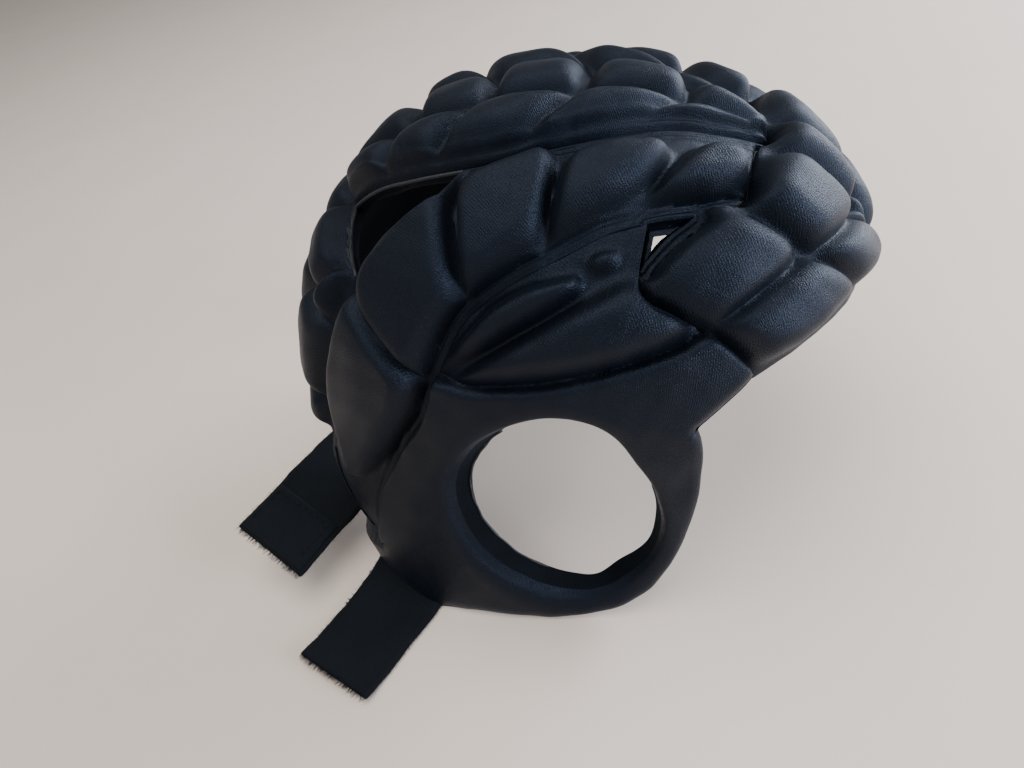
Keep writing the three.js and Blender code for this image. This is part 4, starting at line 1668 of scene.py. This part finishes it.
@dataclass
class VentFray:
    """Loose threads at the rear vent's cut corner and at the nape corner of one side."""

    side: Side
    tufts: tuple[Tuft, ...] = (
        Tuft(46, (CROWN_BACK - 0.2, CROWN_BACK - 0.2), (65.5, 79.0), (0.0, 3.4)),
        Tuft(9, (CROWN_BACK + 0.2, CROWN_BACK + 0.2), (84.0, 86.5), (1.5, 1.5)),
        Tuft(11, (199.0, 202.6), (50.0, 53.0), (0.5, 1.0)),
    )
    seed: int = SEED + 20
    seed_step: int = 11          # added for the right side and taken off for the left
    radius: Span = (0.1, 0.19)
    taper: float = 0.5
    steps: int = 7
    sway: float = 0.16
    run_share: Span = (0.4, 1.2)
    lift: float = 3.5
    lift_gain: Span = (0.2, 1.6)
    lift_sway: float = 0.12

    def build(self, finishes: Finishes) -> bpy.types.Object:
        """Makes the threads, each a thin bent yarn near the cut edge."""
        chance = np.random.default_rng(self.seed + self.seed_step * self.side.value)
        yarns = Yarns(sides=5)
        for tuft in self.tufts:
            for _ in range(tuft.count):
                path = self.thread(chance, tuft.root(chance), tuft.run)
                yarns.add(path, chance.uniform(*self.radius), FORM.ear, self.taper)
        return yarns.piece(f"loose_threads_{self.side.word}", self.side, finishes.thread, Slot.KNIT)

    def thread(self, chance: np.random.Generator, root: Place, run: Place) -> Array:
        """Path of one thread.

        Args:
            chance: Source of its bends.
            root: Angles around and out of its root.
            run: How far it goes round and out, in degrees.

        Returns:
            Points of its middle line.
        """
        steps = np.linspace(0, 1, self.steps)
        sway = np.cumsum(chance.normal(0.0, self.sway, (self.steps, 2)), axis=0)
        around = root[0] + steps * run[0] * chance.uniform(-1, 1) + sway[:, 0]
        out = root[1] + steps * run[1] * chance.uniform(*self.run_share) + sway[:, 1]
        gain = steps * chance.uniform(*self.lift_gain)
        lift = self.lift + gain + np.cumsum(chance.normal(0.0, self.lift_sway, self.steps))
        return FORM.surface(direction(around, out), lift)


@dataclass(frozen=True)
class Lamp:
    """Soft studio light: place and size in metres, power in watts."""

    name: str
    place: tuple[float, float, float]
    size: float
    power: float
    colour: Colour


@dataclass
class Studio:
    """Pale floor, soft lamps and the camera."""

    lamps: tuple[Lamp, ...] = (
        Lamp("window", (-0.85, 1.0, 0.5), 1.1, 35.0, (0.82, 0.89, 1.0)),
        Lamp("doorway", (0.35, 1.25, 0.32), 0.6, 21.0, (0.80, 0.87, 1.0)),
        Lamp("ceiling", (0.1, -0.1, 1.5), 1.6, 22.0, (1.0, 0.98, 0.95)),
        Lamp("room", (1.2, -0.4, 0.8), 1.0, 4.0, (1.0, 0.97, 0.93)),
    )
    target: tuple[float, float, float] = (-0.01, 0.02, 0.07)
    sky: Colour = (0.95, 0.97, 1.0)
    sky_strength: float = 0.36
    floor_half: float = 3.0
    floor_drop: float = 0.0003
    focal_pixels: float = 760.0
    image_width: float = 1024.0
    sensor: float = 36.0
    clip_start: float = 0.01
    eye: tuple[float, float, float] = (237.5, 65.5, 254.8)
    view: tuple[float, float, float] = (-0.698, -0.316, -0.643)
    right: tuple[float, float, float] = (-0.221, 0.949, -0.226)

    def build(self, finishes: Finishes) -> None:
        """Builds the floor, the lamps, the sky and the camera."""
        self.lay_floor(finishes.floor)
        for lamp in self.lamps:
            self.hang(lamp)
        self.light_sky()
        self.place_camera()

    def lay_floor(self, material: bpy.types.Material) -> None:
        """Lays the floor just below the loops' soles."""
        half, low = self.floor_half, -self.floor_drop
        corners = np.array([(x * half, y * half, low) for x, y in ((-1, -1), (1, -1), (1, 1), (-1, 1))])
        floor = mesh_object("floor", corners, [[0, 1, 2, 3]])
        floor.data.materials.append(material)

    def hang(self, lamp: Lamp) -> None:
        """Hangs one lamp and turns it to the cap."""
        light = bpy.data.lights.new(lamp.name, "AREA")
        light.shape = "DISK"
        light.size = lamp.size
        light.energy = lamp.power
        light.color = lamp.colour
        holder = bpy.data.objects.new(lamp.name, light)
        holder.location = lamp.place
        way = Vector(self.target) - Vector(lamp.place)
        holder.rotation_euler = way.to_track_quat("-Z", "Y").to_euler()
        bpy.context.scene.collection.objects.link(holder)

    def light_sky(self) -> None:
        """Sets the even light from all round."""
        world = bpy.data.worlds.new("studio")
        world.use_nodes = True
        sky = world.node_tree.nodes["Background"]
        sky.inputs["Color"].default_value = (*self.sky, 1.0)
        sky.inputs["Strength"].default_value = self.sky_strength
        bpy.context.scene.world = world

    def place_camera(self) -> None:
        """Places the camera where the photograph was taken from."""
        data = bpy.data.cameras.new("camera")
        data.sensor_fit = "HORIZONTAL"
        data.sensor_width = self.sensor
        data.lens = self.focal_pixels * self.sensor / self.image_width
        data.clip_start = self.clip_start
        camera = bpy.data.objects.new("camera", data)
        ahead = Vector(self.view).normalized()
        right = Vector(self.right)
        right = (right - ahead * right.dot(ahead)).normalized()
        turn = Matrix((right, right.cross(ahead), -ahead)).transposed()
        place = Vector(to_world(np.array([self.eye]))[0])
        camera.matrix_world = Matrix.Translation(place) @ turn.to_4x4()
        bpy.context.scene.collection.objects.link(camera)
        bpy.context.scene.camera = camera


def report(*pieces: bpy.types.Object) -> None:
    """Logs each piece with its count of faces."""
    for piece in pieces:
        LOG.info("%s: %d faces", piece.name, len(piece.data.polygons))


def write_sizes() -> None:
    """Updates the view layer."""
    bpy.context.view_layer.update()


def main() -> None:
    """Builds the studio, the panels, the straps and the seam work."""
    logging.basicConfig(level=logging.INFO, format="%(name)s %(message)s")
    finishes = Finishes()
    Studio().build(finishes)
    for panel in (CrownStrip(), BackPanel(), BrowPanel()):
        report(panel.build(finishes))
    for side in Side:
        report(SidePanel(side=side).build(finishes), EarPanel(side=side).build(finishes))
        report(*SeamWork(side).build(finishes))
        report(VentLip(side).build(finishes), VentFray(side).build(finishes))
    report(*Strap(Side.RIGHT, RIGHT_COURSE).build(finishes))
    long_strap = Strap(Side.LEFT, LEFT_COURSE)
    report(*long_strap.build(finishes))
    report(*StrapTab(long_strap).build(finishes))
    write_sizes()


if __name__ == "__main__":
    main()
